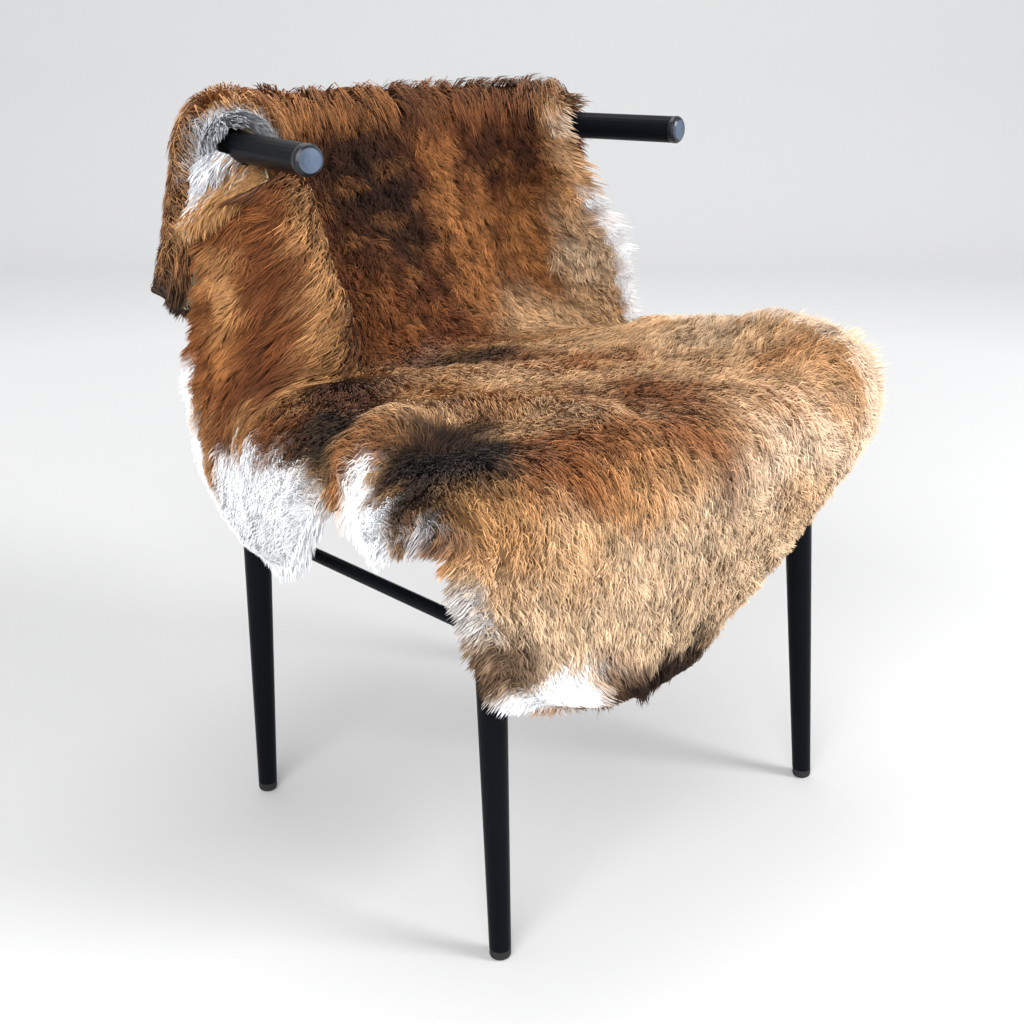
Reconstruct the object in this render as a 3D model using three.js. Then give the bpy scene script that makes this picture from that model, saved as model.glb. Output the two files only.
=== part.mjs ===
// A long-haired sheepskin laid over a steel armchair, in millimetres with +Z up.
// The chair faces -Y. The skin hangs behind the bow rail, comes over it, runs down the back,
// across the seat and down over the front edge.
import * as THREE from 'three';

const CHAIR = {
  railHeight: 739, railRadius: 15, railBackY: 304.4, railBackHalf: 89.1, railBend: 140,
  armSplay: 12, armLength: 165, capLength: 9,
  stretcherHeight: 330, seatRailHeight: 429.5, crossRadius: 7,
  seatTop: 455, seatThickness: 18, seatHalfWidth: 231, seatFront: -193, seatBack: 178, seatCorner: 42,
  glideHeight: 10, gap: 0.3, barGap: 0.9,
};
const FRONT_LEG = { footX: 250.4, footY: -212.1, topX: 236.4, topY: -180.7, top: 436.7 };
const BACK_LEG = { footX: 229, footY: 209, topX: 226.7, topY: 190, top: 723.7 };
const LEG_RADII = { foot: 10.6, waist: 15.8, waistHeight: 360, railEnd: 11.5 };

const SKIN = { pile: 36, rimRise: 0.3, rimWidth: 30, crownGap: 20.5, startHeading: 78, riseSpan: 60,
  fallSpan: 72, tuft: 13, lump: 3.2 };

// The skin's middle line, seen from the side: each run is an arc that turns the heading by some degrees.
const MIDDLE_LINE = [
  { name: 'flap behind the rail', run: 207, turn: 0 },
  { name: 'over the rail', run: 61, turn: -158 },
  { name: 'down the back', run: 255, turn: 18 },
  { name: 'into the seat', run: 85, turn: 62 },
  { name: 'across the seat', run: 320, turn: 0 },
  { name: 'over the front edge', run: 60, turn: -84 },
  { name: 'front drape', run: 171, turn: -5 },
];

// Cross sections. at: distance along the middle line. curlL and curlR: how far each side follows the
// rail's curve. shift: sideways move of the section's middle. left and right: reach of each side.
// Each side may first turn up towards the wool (up, in degrees, from upAt) and then down (down, from downAt).
const SECTION_COLUMNS = ['at', 'curlL', 'curlR', 'shift', 'left', 'right',
  'upAtL', 'upL', 'downAtL', 'downL', 'upAtR', 'upR', 'downAtR', 'downR'];
const SECTIONS = [
  [0, 0.95, 0.95, -30, 130, 100, 120, 0, 260, 0, 200, 0, 300, 0],
  [52, 0.95, 0.95, -10, 246, 225, 120, 0, 260, 0, 200, 0, 300, 0],
  [127, 1, 1, 0, 264, 275, 120, 0, 260, 0, 200, 0, 300, 0],
  [202, 1, 1, 0, 268, 290, 120, 0, 260, 0, 200, 0, 320, 0],
  [237, 1, 1, 0, 284, 298, 120, 0, 260, 0, 200, 0, 320, 0],
  [294, 0.98, 1, 0, 292, 318, 100, 0, 250, 0, 200, 0, 320, 0],
  [330, 0.5, 1, 0, 358, 350, 85, 28, 264, 114, 200, 0, 320, 0],
  [412, 0.4, 0.85, 0, 386, 398, 85, 32, 253, 114, 200, 0, 320, 0],
  [512, 0.25, 0.5, 0, 404, 374, 85, 39, 216, 110, 190, 8, 320, 0],
  [562, 0.15, 0.32, 0, 404, 354, 92, 26, 220, 103, 160, 13, 300, 0],
  [612, 0.06, 0.18, 0, 400, 342, 108, 8, 230, 96, 150, 15, 300, 0],
  [702, 0, 0, 0, 372, 332, 120, 0, 236, 88, 150, 12, 300, 0],
  [782, 0, 0, 0, 285, 328, 120, 0, 236, 70, 150, 17, 300, 0],
  [862, 0, 0, 0, 330, 328, 120, 0, 238, 60, 150, 25, 300, 0],
  [927, 0, 0, 0, 318, 318, 120, 0, 246, 40, 150, 25, 270, 4],
  [972, 0, 0, -5, 306, 280, 120, 0, 246, 26, 150, 14, 250, 4],
  [1017, 0, 0, -15, 292, 228, 120, 0, 250, 16, 150, 4, 240, 0],
  [1067, 0, 0, -40, 252, 180, 120, 0, 250, 12, 150, 0, 240, 0],
  [1112, 0, 0, -70, 196, 118, 120, 0, 250, 8, 150, 0, 240, 0],
  [1140, 0, 0, -84, 126, 80, 120, 0, 250, 4, 150, 0, 240, 0],
  [1159, 0, 0, -88, 58, 42, 120, 0, 250, 0, 150, 0, 240, 0],
];

// Soft folds in the skin. Each follows a path of places, [along, across], with a height and a half width.
const FOLDS = [
  { name: 'ridge round the left knee', path: [[812, -296], [782, -205], [786, -130], [826, -80], [900, -66]],
    height: 21, width: 25 },
  { name: 'seat fold from the pleat', path: [[640, -200], [655, -90], [700, 40]], height: 9, width: 22 },
  { name: 'left front lobe', path: [[897, -290], [977, -215]], height: 8, width: 42 },
  { name: 'right seat swell', path: [[740, 90], [860, 150]], height: 7, width: 46 },
  { name: 'back wrinkle', path: [[312, 70], [492, 20]], height: -6, width: 26 },
  { name: 'back swell', path: [[312, -30], [482, -70]], height: 6, width: 34 },
  { name: 'right back hollow', path: [[330, 215], [470, 160]], height: -5, width: 30 },
  { name: 'drape swell', path: [[972, -60], [1102, -120]], height: 8, width: 50 },
  { name: 'drape trough', path: [[1030, 48], [1092, 8]], height: -6, width: 26 },
];

// Places where the wool is pressed shorter: how far round, and what share of its height stays.
const SHORT_WOOL = [
  { name: 'under the left arm', at: [324, -335], radius: 40, keep: 0.3 },
  { name: 'right back corner', at: [590, 318], radius: 66, keep: 0.3 },
  { name: 'left edge at the rail', at: [300, -280], radius: 26, keep: 0.6 },
];

const COLOURS = {
  wool: { color: 0x9a6233, roughness: 0.95, metalness: 0 },
  steel: { color: 0x17181a, roughness: 0.5, metalness: 0.6 },
  cap: { color: 0x2b3038, roughness: 0.45, metalness: 0 },
  seat: { color: 0x1c1c1e, roughness: 0.6, metalness: 0 },
  glide: { color: 0x101011, roughness: 0.8, metalness: 0 },
};

const UP = new THREE.Vector3(0, 0, 1);
const radians = THREE.MathUtils.degToRad;
const chair = new THREE.Group();

function addPiece(name, geometry, finish) {
  const mesh = new THREE.Mesh(geometry, new THREE.MeshStandardMaterial(COLOURS[finish]));
  mesh.name = name;
  chair.add(mesh);
  return mesh;
}

// Bow rail: straight back, a bend at each side, and two arms that splay outwards.
const BEND_ANGLE = radians(90 - CHAIR.armSplay);
const BEND_LENGTH = CHAIR.railBend * BEND_ANGLE;
const RAIL_HALF = CHAIR.railBackHalf + BEND_LENGTH + CHAIR.armLength;

// Place and heading at a distance from the rail's middle, on one side; curl 1 is the rail itself.
function railPlan(distance, curl) {
  const turned = curl * BEND_ANGLE;
  const bent = THREE.MathUtils.clamp(distance - CHAIR.railBackHalf, 0, BEND_LENGTH);
  const heading = turned * bent / BEND_LENGTH;
  const radius = turned > 1e-6 ? BEND_LENGTH / turned : 0;
  const bendX = radius > 0 ? radius * Math.sin(heading) : bent;
  const bendY = radius > 0 ? radius * (1 - Math.cos(heading)) : 0;
  const straight = Math.min(distance, CHAIR.railBackHalf);
  const beyond = Math.max(distance - CHAIR.railBackHalf - BEND_LENGTH, 0);
  return {
    x: straight + bendX + beyond * Math.cos(heading),
    y: CHAIR.railBackY - bendY - beyond * Math.sin(heading),
    heading,
  };
}

class RailCurve extends THREE.Curve {
  getPoint(t, target = new THREE.Vector3()) {
    const distance = (2 * t - 1) * RAIL_HALF;
    const plan = railPlan(Math.abs(distance), 1);
    return target.set(Math.sign(distance) * plan.x, plan.y, CHAIR.railHeight);
  }
}

function roundSection(radius, sides) {
  const shape = new THREE.Shape();
  for (let i = 0; i < sides; i += 1) {
    const angle = 2 * Math.PI * i / sides;
    const place = [radius * Math.cos(angle), radius * Math.sin(angle)];
    if (i === 0) shape.moveTo(...place);
    else shape.lineTo(...place);
  }
  shape.closePath();
  return shape;
}

function addRail() {
  const geometry = new THREE.ExtrudeGeometry(roundSection(CHAIR.railRadius, 24), {
    steps: 34, bevelEnabled: false, extrudePath: new RailCurve(),
  });
  addPiece('bow_rail', geometry, 'steel');
}

// Turned piece standing along +Z: pairs of radius and height, from the axis at the foot to the axis at the top.
function turned(profile, sides) {
  const geometry = new THREE.LatheGeometry(profile.map(([r, h]) => new THREE.Vector2(r, h)), sides);
  geometry.rotateX(Math.PI / 2);
  return geometry;
}

function addCap(side) {
  const r = CHAIR.railRadius;
  const l = CHAIR.capLength;
  const tip = railPlan(RAIL_HALF, 1);
  const profile = [[0, 0], [r, 0], [r + 0.4, 1], [r + 0.4, l - 4], [r - 1.2, l - 1.6], [r - 3.6, l],
    [r - 9, l + 0.8], [0, l + 1.2]];
  const cap = addPiece(side < 0 ? 'arm_cap_left' : 'arm_cap_right', turned(profile, 28), 'cap');
  const outward = new THREE.Vector3(side * Math.cos(tip.heading), -Math.sin(tip.heading), 0);
  cap.quaternion.setFromUnitVectors(UP, outward);
  cap.position.set(side * tip.x, tip.y, CHAIR.railHeight).addScaledVector(outward, CHAIR.gap);
}

// A leg leans by shearing, so that its foot and its top stay level.
function leanTo(geometry, foot, top, height) {
  const lean = new THREE.Matrix4().set(
    1, 0, (top[0] - foot[0]) / height, foot[0],
    0, 1, (top[1] - foot[1]) / height, foot[1],
    0, 0, 1, 0,
    0, 0, 0, 1,
  );
  return geometry.applyMatrix4(lean);
}

function legRadius(height, leg) {
  const { foot, waist, waistHeight, railEnd } = LEG_RADII;
  if (height <= waistHeight) return foot + (waist - foot) * height / waistHeight;
  if (leg === FRONT_LEG) return waist;
  return waist + (railEnd - waist) * (height - waistHeight) / (leg.top - waistHeight);
}

function legAxis(leg, side, height) {
  const t = height / leg.top;
  return new THREE.Vector3(side * (leg.footX + (leg.topX - leg.footX) * t), leg.footY + (leg.topY - leg.footY) * t, height);
}

function addLeg(name, leg, side) {
  const start = CHAIR.glideHeight + CHAIR.gap;
  const heights = [start, LEG_RADII.waistHeight, leg.top];
  const profile = [[0, start], ...heights.map((h) => [legRadius(h, leg), h]), [0, leg.top]];
  const geometry = turned(profile, 24);
  leanTo(geometry, [side * leg.footX, leg.footY], [side * leg.topX, leg.topY], leg.top);
  addPiece(`leg_${name}`, geometry, 'steel');

  const r = LEG_RADII.foot;
  const foot = legAxis(leg, side, CHAIR.glideHeight / 2);
  const glide = addPiece(`glide_${name}`,
    turned([[0, 0], [r - 2.6, 0], [r - 0.8, 1.4], [r, 3.6], [r, CHAIR.glideHeight], [0, CHAIR.glideHeight]], 20), 'glide');
  glide.position.set(foot.x, foot.y, 0);
}

// A round bar between two leaning legs, standing off each leg's face by a small gap.
function addBar(name, from, fromRadius, to, toRadius) {
  const along = new THREE.Vector3().subVectors(to, from);
  const length = along.length() - fromRadius - toRadius - 2 * CHAIR.barGap;
  along.normalize();
  const geometry = new THREE.CylinderGeometry(CHAIR.crossRadius, CHAIR.crossRadius, length, 12);
  geometry.rotateX(Math.PI / 2);
  const bar = addPiece(name, geometry, 'steel');
  bar.quaternion.setFromUnitVectors(UP, along);
  bar.position.copy(from).addScaledVector(along, fromRadius + CHAIR.barGap + length / 2);
}

function addFrameBars(prefix, height) {
  const corners = {
    frontLeft: [FRONT_LEG, -1], frontRight: [FRONT_LEG, 1], backLeft: [BACK_LEG, -1], backRight: [BACK_LEG, 1],
  };
  const sides = {
    front: ['frontLeft', 'frontRight'], back: ['backLeft', 'backRight'],
    left: ['frontLeft', 'backLeft'], right: ['frontRight', 'backRight'],
  };
  for (const [side, [a, b]] of Object.entries(sides)) {
    const ends = [a, b].map((corner) => {
      const [leg, way] = corners[corner];
      return { place: legAxis(leg, way, height), radius: legRadius(height, leg) };
    });
    addBar(`${prefix}_${side}`, ends[0].place, ends[0].radius, ends[1].place, ends[1].radius);
  }
}

function addSeat() {
  const { seatHalfWidth: w, seatFront: front, seatBack: back, seatCorner: c } = CHAIR;
  const shape = new THREE.Shape();
  shape.moveTo(-w + c, front);
  shape.lineTo(w - c, front);
  shape.absarc(w - c, front + c, c, -Math.PI / 2, 0, false);
  shape.lineTo(w, back - c);
  shape.absarc(w - c, back - c, c, 0, Math.PI / 2, false);
  shape.lineTo(-w + c, back);
  shape.absarc(-w + c, back - c, c, Math.PI / 2, Math.PI, false);
  shape.lineTo(-w, front + c);
  shape.absarc(-w + c, front + c, c, Math.PI, 1.5 * Math.PI, false);
  const bevel = 5;
  const geometry = new THREE.ExtrudeGeometry(shape, {
    depth: CHAIR.seatThickness - 2 * bevel, steps: 1, curveSegments: 6,
    bevelEnabled: true, bevelThickness: bevel, bevelSize: bevel, bevelOffset: -bevel, bevelSegments: 2,
  });
  const seat = addPiece('seat', geometry, 'seat');
  seat.position.z = CHAIR.seatTop - CHAIR.seatThickness + bevel;
}

// Smooth interpolation down one column of a table, with no overshoot between its rows.
function columnCurve(places, values) {
  const count = places.length;
  const steps = [];
  const slopes = [];
  for (let i = 0; i < count - 1; i += 1) {
    steps.push(places[i + 1] - places[i]);
    slopes.push((values[i + 1] - values[i]) / steps[i]);
  }
  const tangents = [slopes[0]];
  for (let i = 1; i < count - 1; i += 1) {
    if (slopes[i - 1] * slopes[i] <= 0) {
      tangents.push(0);
    } else {
      const before = 2 * steps[i] + steps[i - 1];
      const after = steps[i] + 2 * steps[i - 1];
      tangents.push((before + after) / (before / slopes[i - 1] + after / slopes[i]));
    }
  }
  tangents.push(slopes[count - 2]);
  return (place) => {
    let i = 0;
    while (i < count - 2 && place > places[i + 1]) i += 1;
    const t = (place - places[i]) / steps[i];
    const a = (1 + 2 * t) * (1 - t) * (1 - t);
    const b = t * (1 - t) * (1 - t);
    const c = t * t * (3 - 2 * t);
    const d = t * t * (t - 1);
    return a * values[i] + b * steps[i] * tangents[i] + c * values[i + 1] + d * steps[i] * tangents[i + 1];
  };
}

const sectionCurves = Object.fromEntries(SECTION_COLUMNS.map((name, column) => [
  name, columnCurve(SECTIONS.map((row) => row[0]), SECTIONS.map((row) => row[column])),
]));

const SKIN_LENGTH = MIDDLE_LINE.reduce((sum, part) => sum + part.run, 0);

// The middle line at a distance along it: how far inside the rail's axis, how high, and its heading.
function middleLine(distance) {
  let heading = radians(SKIN.startHeading);
  let inside = 0;
  let height = 0;
  let left = distance;
  for (const { run, turn } of MIDDLE_LINE) {
    const part = Math.min(left, run);
    const turnedBy = radians(turn) * part / run;
    const half = turnedBy / 2;
    const chord = part * (Math.abs(half) > 1e-9 ? Math.sin(half) / half : 1);
    inside += chord * Math.cos(heading + half);
    height += chord * Math.sin(heading + half);
    heading += turnedBy;
    left -= part;
    if (left <= 0) break;
  }
  return { inside, height, heading };
}

const CROWN_AT = MIDDLE_LINE[0].run + MIDDLE_LINE[1].run * SKIN.startHeading / -MIDDLE_LINE[1].turn;
const CROWN = middleLine(CROWN_AT);

function smoothStep(t) {
  const s = THREE.MathUtils.clamp(t, 0, 1);
  return s * s * (3 - 2 * s);
}

// One side of a section: places of the skin's leather side every few millimetres out from the middle.
function sectionSide(at, side, reach) {
  const mid = middleLine(at);
  const inside = mid.inside - CROWN.inside;
  const height = mid.height - CROWN.height + CHAIR.railHeight + SKIN.crownGap;
  const suffix = side < 0 ? 'L' : 'R';
  const [curl, upAt, up, downAt, down] = ['curl', 'upAt', 'up', 'downAt', 'down']
    .map((name) => sectionCurves[name + suffix](at));
  const step = 4;
  const bend = new THREE.Vector3();
  const places = [];
  for (let distance = 0; distance <= reach + step; distance += step) {
    const plan = railPlan(distance, curl);
    const outward = new THREE.Vector3(side * Math.cos(plan.heading), -Math.sin(plan.heading), 0);
    const inward = new THREE.Vector3(-side * Math.sin(plan.heading), -Math.cos(plan.heading), 0);
    places.push(new THREE.Vector3(side * plan.x, plan.y, height).addScaledVector(inward, inside).add(bend));
    const woolward = inward.clone().multiplyScalar(-Math.sin(mid.heading)).addScaledVector(UP, Math.cos(mid.heading));
    const middle = distance + step / 2;
    const lift = radians(up) * smoothStep((middle - upAt) / SKIN.riseSpan)
      - radians(down) * smoothStep((middle - downAt) / SKIN.fallSpan);
    bend.addScaledVector(outward, step * (Math.cos(lift) - 1)).addScaledVector(woolward, step * Math.sin(lift));
  }
  return (distance) => {
    const i = Math.min(Math.floor(distance / step), places.length - 2);
    return places[i].clone().lerp(places[i + 1], distance / step - i);
  };
}

function skinSection(at, shares) {
  const shift = sectionCurves.shift(at);
  const reach = { left: sectionCurves.left(at), right: sectionCurves.right(at) };
  const sides = { left: sectionSide(at, -1, reach.left - shift), right: sectionSide(at, 1, reach.right + shift) };
  return shares.map((share) => {
    const across = shift + share * (share < 0 ? reach.left : reach.right);
    return { across, place: across < 0 ? sides.left(-across) : sides.right(across) };
  });
}

// How far a place is from a path, along its nearest straight run.
function pathDistance(path, along, across) {
  let nearest = Infinity;
  for (let i = 0; i < path.length - 1; i += 1) {
    const [start, end] = [path[i], path[i + 1]];
    const run = [end[0] - start[0], end[1] - start[1]];
    const off = [along - start[0], across - start[1]];
    const t = THREE.MathUtils.clamp((off[0] * run[0] + off[1] * run[1]) / (run[0] ** 2 + run[1] ** 2), 0, 1);
    nearest = Math.min(nearest, Math.hypot(off[0] - t * run[0], off[1] - t * run[1]));
  }
  return nearest;
}

// Height of the soft folds at a place on the skin.
function foldHeight(along, across) {
  return FOLDS.reduce((height, fold) => {
    const distance = pathDistance(fold.path, along, across);
    return height + fold.height * Math.exp(-((distance / fold.width) ** 2));
  }, 0);
}

function woolShare(along, across) {
  return SHORT_WOOL.reduce((share, { at, radius, keep }) => {
    const distance = Math.hypot(along - at[0], across - at[1]);
    return share * (1 - (1 - keep) * Math.exp(-((distance / radius) ** 2)));
  }, 1);
}

function woolLump(along, across) {
  return SKIN.lump * (Math.sin(along / 17 + 1.3 * Math.sin(across / 31)) * Math.sin(across / 19 + 0.8)
    + 0.6 * Math.sin(along / 41 - across / 37 + 2));
}

function gridNormals(grid) {
  const rows = grid.length;
  const columns = grid[0].length;
  return grid.map((row, i) => row.map((unused, j) => {
    const along = new THREE.Vector3().subVectors(grid[Math.min(i + 1, rows - 1)][j], grid[Math.max(i - 1, 0)][j]);
    const across = new THREE.Vector3().subVectors(row[Math.min(j + 1, columns - 1)], row[Math.max(j - 1, 0)]);
    return new THREE.Vector3().crossVectors(along, across).normalize();
  }));
}

// Evens out a grid of vectors, inside its border.
function relax(grid, rounds) {
  let now = grid;
  for (let round = 0; round < rounds; round += 1) {
    now = now.map((row, i) => row.map((value, j) => {
      if (i === 0 || j === 0 || i === now.length - 1 || j === row.length - 1) return value.clone();
      const around = new THREE.Vector3().add(now[i - 1][j]).add(now[i + 1][j]).add(row[j - 1]).add(row[j + 1]);
      return value.clone().lerp(around.multiplyScalar(0.25), 0.5);
    }));
  }
  return now;
}

const SKIN_ROWS = 88;
const SKIN_SHARES = (() => {
  const inner = 27;
  const near = [-1, -0.962, -0.91];
  const shares = [...near];
  for (let i = 1; i < inner; i += 1) shares.push(-0.91 + 1.82 * i / inner);
  return [...shares, ...near.map((share) => -share).reverse()];
})();

function addSkin() {
  const rows = Array.from({ length: SKIN_ROWS + 1 }, (unused, i) => {
    const t = i / SKIN_ROWS;
    return SKIN_LENGTH * (t + 0.012 * Math.sin(2 * Math.PI * t));
  });
  const columns = SKIN_SHARES.length;
  const sections = rows.map((at) => skinSection(at, SKIN_SHARES));
  let leather = relax(sections.map((section) => section.map(({ place }) => place)), 2);
  const flatNormals = relax(gridNormals(leather), 3);
  leather = leather.map((row, i) => row.map((place, j) => place.clone()
    .addScaledVector(flatNormals[i][j], foldHeight(rows[i], sections[i][j].across))));
  const normals = relax(gridNormals(leather), 4).map((row) => row.map((normal) => normal.normalize()));

  const wool = leather.map((row, i) => row.map((place, j) => {
    const section = sections[i];
    const edge = Math.min(section[columns - 1].across - section[j].across, section[j].across - section[0].across,
      rows[i] - rows[0], rows[SKIN_ROWS] - rows[i]);
    const round = Math.sqrt(1 - (1 - Math.min(edge / SKIN.rimWidth, 1)) ** 2);
    const depth = SKIN.pile * (SKIN.rimRise + (1 - SKIN.rimRise) * round) + round * woolLump(rows[i], section[j].across);
    return place.clone().addScaledVector(normals[i][j], depth * woolShare(rows[i], section[j].across));
  }));
  // The rim is drawn out into locks of unlike lengths.
  const isRim = (i, j) => i === 0 || j === 0 || i === SKIN_ROWS || j === columns - 1;
  const lockShape = [0.1, 0.8, 1, 0.35];
  for (let i = 0; i <= SKIN_ROWS; i += 1) {
    for (let j = 0; j < columns; j += 1) {
      if (isRim(i, j)) {
        const inner = leather[THREE.MathUtils.clamp(i, 1, SKIN_ROWS - 1)][THREE.MathUtils.clamp(j, 1, columns - 2)];
        const outward = new THREE.Vector3().subVectors(leather[i][j], inner).normalize();
        const around = (i === 0 || i === SKIN_ROWS) ? j : i;
        const long = 0.75 + 0.25 * Math.sin(around * 2.4 + (j > columns / 2 ? 1 : 0));
        wool[i][j].addScaledVector(outward, SKIN.tuft * lockShape[around % lockShape.length] * long);
      }
    }
  }
  const positions = [];
  const index = { wool: [], leather: [] };
  const add = (place) => positions.push(place.x, place.y, place.z) / 3 - 1;
  for (let i = 0; i <= SKIN_ROWS; i += 1) {
    index.wool.push(wool[i].map(add));
    index.leather.push(leather[i].map((place, j) => (isRim(i, j) ? index.wool[i][j] : add(place))));
  }
  const faces = [];
  for (let i = 0; i < SKIN_ROWS; i += 1) {
    for (let j = 0; j < columns - 1; j += 1) {
      const top = [index.wool[i][j], index.wool[i + 1][j], index.wool[i + 1][j + 1], index.wool[i][j + 1]];
      const under = [index.leather[i][j], index.leather[i + 1][j], index.leather[i + 1][j + 1], index.leather[i][j + 1]];
      faces.push(top[0], top[1], top[2], top[0], top[2], top[3]);
      faces.push(under[0], under[2], under[1], under[0], under[3], under[2]);
    }
  }
  const geometry = new THREE.BufferGeometry();
  geometry.setAttribute('position', new THREE.Float32BufferAttribute(positions, 3));
  geometry.setIndex(faces);
  geometry.computeVertexNormals();
  addPiece('sheepskin', geometry, 'wool');
}

addRail();
for (const side of [-1, 1]) {
  const hand = side < 0 ? 'left' : 'right';
  addCap(side);
  addLeg(`front_${hand}`, FRONT_LEG, side);
  addLeg(`back_${hand}`, BACK_LEG, side);
}
addFrameBars('stretcher', CHAIR.stretcherHeight);
addFrameBars('seat_rail', CHAIR.seatRailHeight);
addSeat();
addSkin();

// The origin is the middle of the whole object's footprint, on the floor.
const whole = new THREE.Box3().setFromObject(chair).getCenter(new THREE.Vector3());
chair.position.set(-whole.x, -whole.y, 0);

const model = new THREE.Group();
model.add(chair);

export default model;
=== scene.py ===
"""Looks of a long-haired sheepskin that lies over a round-rail steel armchair.

The skin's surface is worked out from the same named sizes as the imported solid. On it lie a thin
leather, a dense undercoat and combed locks of wool, each lock a tapering strip.
"""
import logging
import math
from dataclasses import dataclass, field
from enum import Enum

import bpy
import numpy as np
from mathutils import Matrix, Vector


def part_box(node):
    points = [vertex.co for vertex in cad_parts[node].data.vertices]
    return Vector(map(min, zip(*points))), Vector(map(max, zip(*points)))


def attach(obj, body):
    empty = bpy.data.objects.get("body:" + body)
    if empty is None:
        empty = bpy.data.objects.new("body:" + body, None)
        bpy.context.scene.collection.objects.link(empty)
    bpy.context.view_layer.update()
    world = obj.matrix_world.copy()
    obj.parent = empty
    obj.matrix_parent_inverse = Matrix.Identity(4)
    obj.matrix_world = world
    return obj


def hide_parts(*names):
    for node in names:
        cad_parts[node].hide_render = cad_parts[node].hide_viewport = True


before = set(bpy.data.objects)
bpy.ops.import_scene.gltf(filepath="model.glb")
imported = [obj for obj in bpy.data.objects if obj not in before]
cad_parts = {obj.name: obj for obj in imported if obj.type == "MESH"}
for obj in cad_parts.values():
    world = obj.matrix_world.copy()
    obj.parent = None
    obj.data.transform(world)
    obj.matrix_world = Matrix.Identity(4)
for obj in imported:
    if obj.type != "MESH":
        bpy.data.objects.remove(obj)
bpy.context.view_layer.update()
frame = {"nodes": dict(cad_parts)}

LOG = logging.getLogger("sheepskin")
MM = 0.001
TINT_NAME, REACH_NAME = "wool_tint", "wool_reach"

Colour = tuple[float, float, float]


def paint(code: str) -> Colour:
    """Turns a colour as seen on a screen into the renderer's linear values.

    Args:
        code: The colour as six hexadecimal digits.

    Returns:
        Linear red, green and blue.
    """
    parts = [int(code[i:i + 2], 16) / 255 for i in (0, 2, 4)]
    return tuple(c / 12.92 if c <= 0.04045 else ((c + 0.055) / 1.055) ** 2.4 for c in parts)


def grey(value: float) -> Colour:
    """Returns a grey of one linear value."""
    return (value, value, value)


class Tint(Enum):
    """The wool's own colours; the dark ones are also laid on as painted shade in two creases."""

    SOOT = paint("2a1b13")
    UMBER = paint("432618")
    BROWN = paint("633820")
    CHESTNUT = paint("7a4826")
    RUST = paint("8e5730")
    GOLD = paint("a86f40")
    HONEY = paint("bb8a59")
    TAN = paint("c7a077")
    SAND = paint("ceb190")
    CREAM = paint("e9d0b6")
    MAUVE = paint("8a6a58")
    GREY = paint("c6cad0")
    WHITE = paint("fcfdff")


# Shader helpers


class Socket:
    """A node's output, with arithmetic that adds Math nodes."""

    def __init__(self, graph: "Graph", output: bpy.types.NodeSocket) -> None:
        """Keeps the graph and the output that this value comes from."""
        self.graph = graph
        self.output = output

    def _math(self, operation: str, first: object, second: object) -> "Socket":
        """Adds one Math node."""
        return self.graph.add("ShaderNodeMath", {"operation": operation}, {0: first, 1: second})

    def __add__(self, other: object) -> "Socket":
        """Returns self + other."""
        return self._math("ADD", self, other)

    __radd__ = __add__

    def __mul__(self, other: object) -> "Socket":
        """Returns self * other."""
        return self._math("MULTIPLY", self, other)

    __rmul__ = __mul__

    def __sub__(self, other: object) -> "Socket":
        """Returns self - other."""
        return self._math("SUBTRACT", self, other)

    def __rsub__(self, other: object) -> "Socket":
        """Returns other - self."""
        return self._math("SUBTRACT", other, self)


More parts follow.
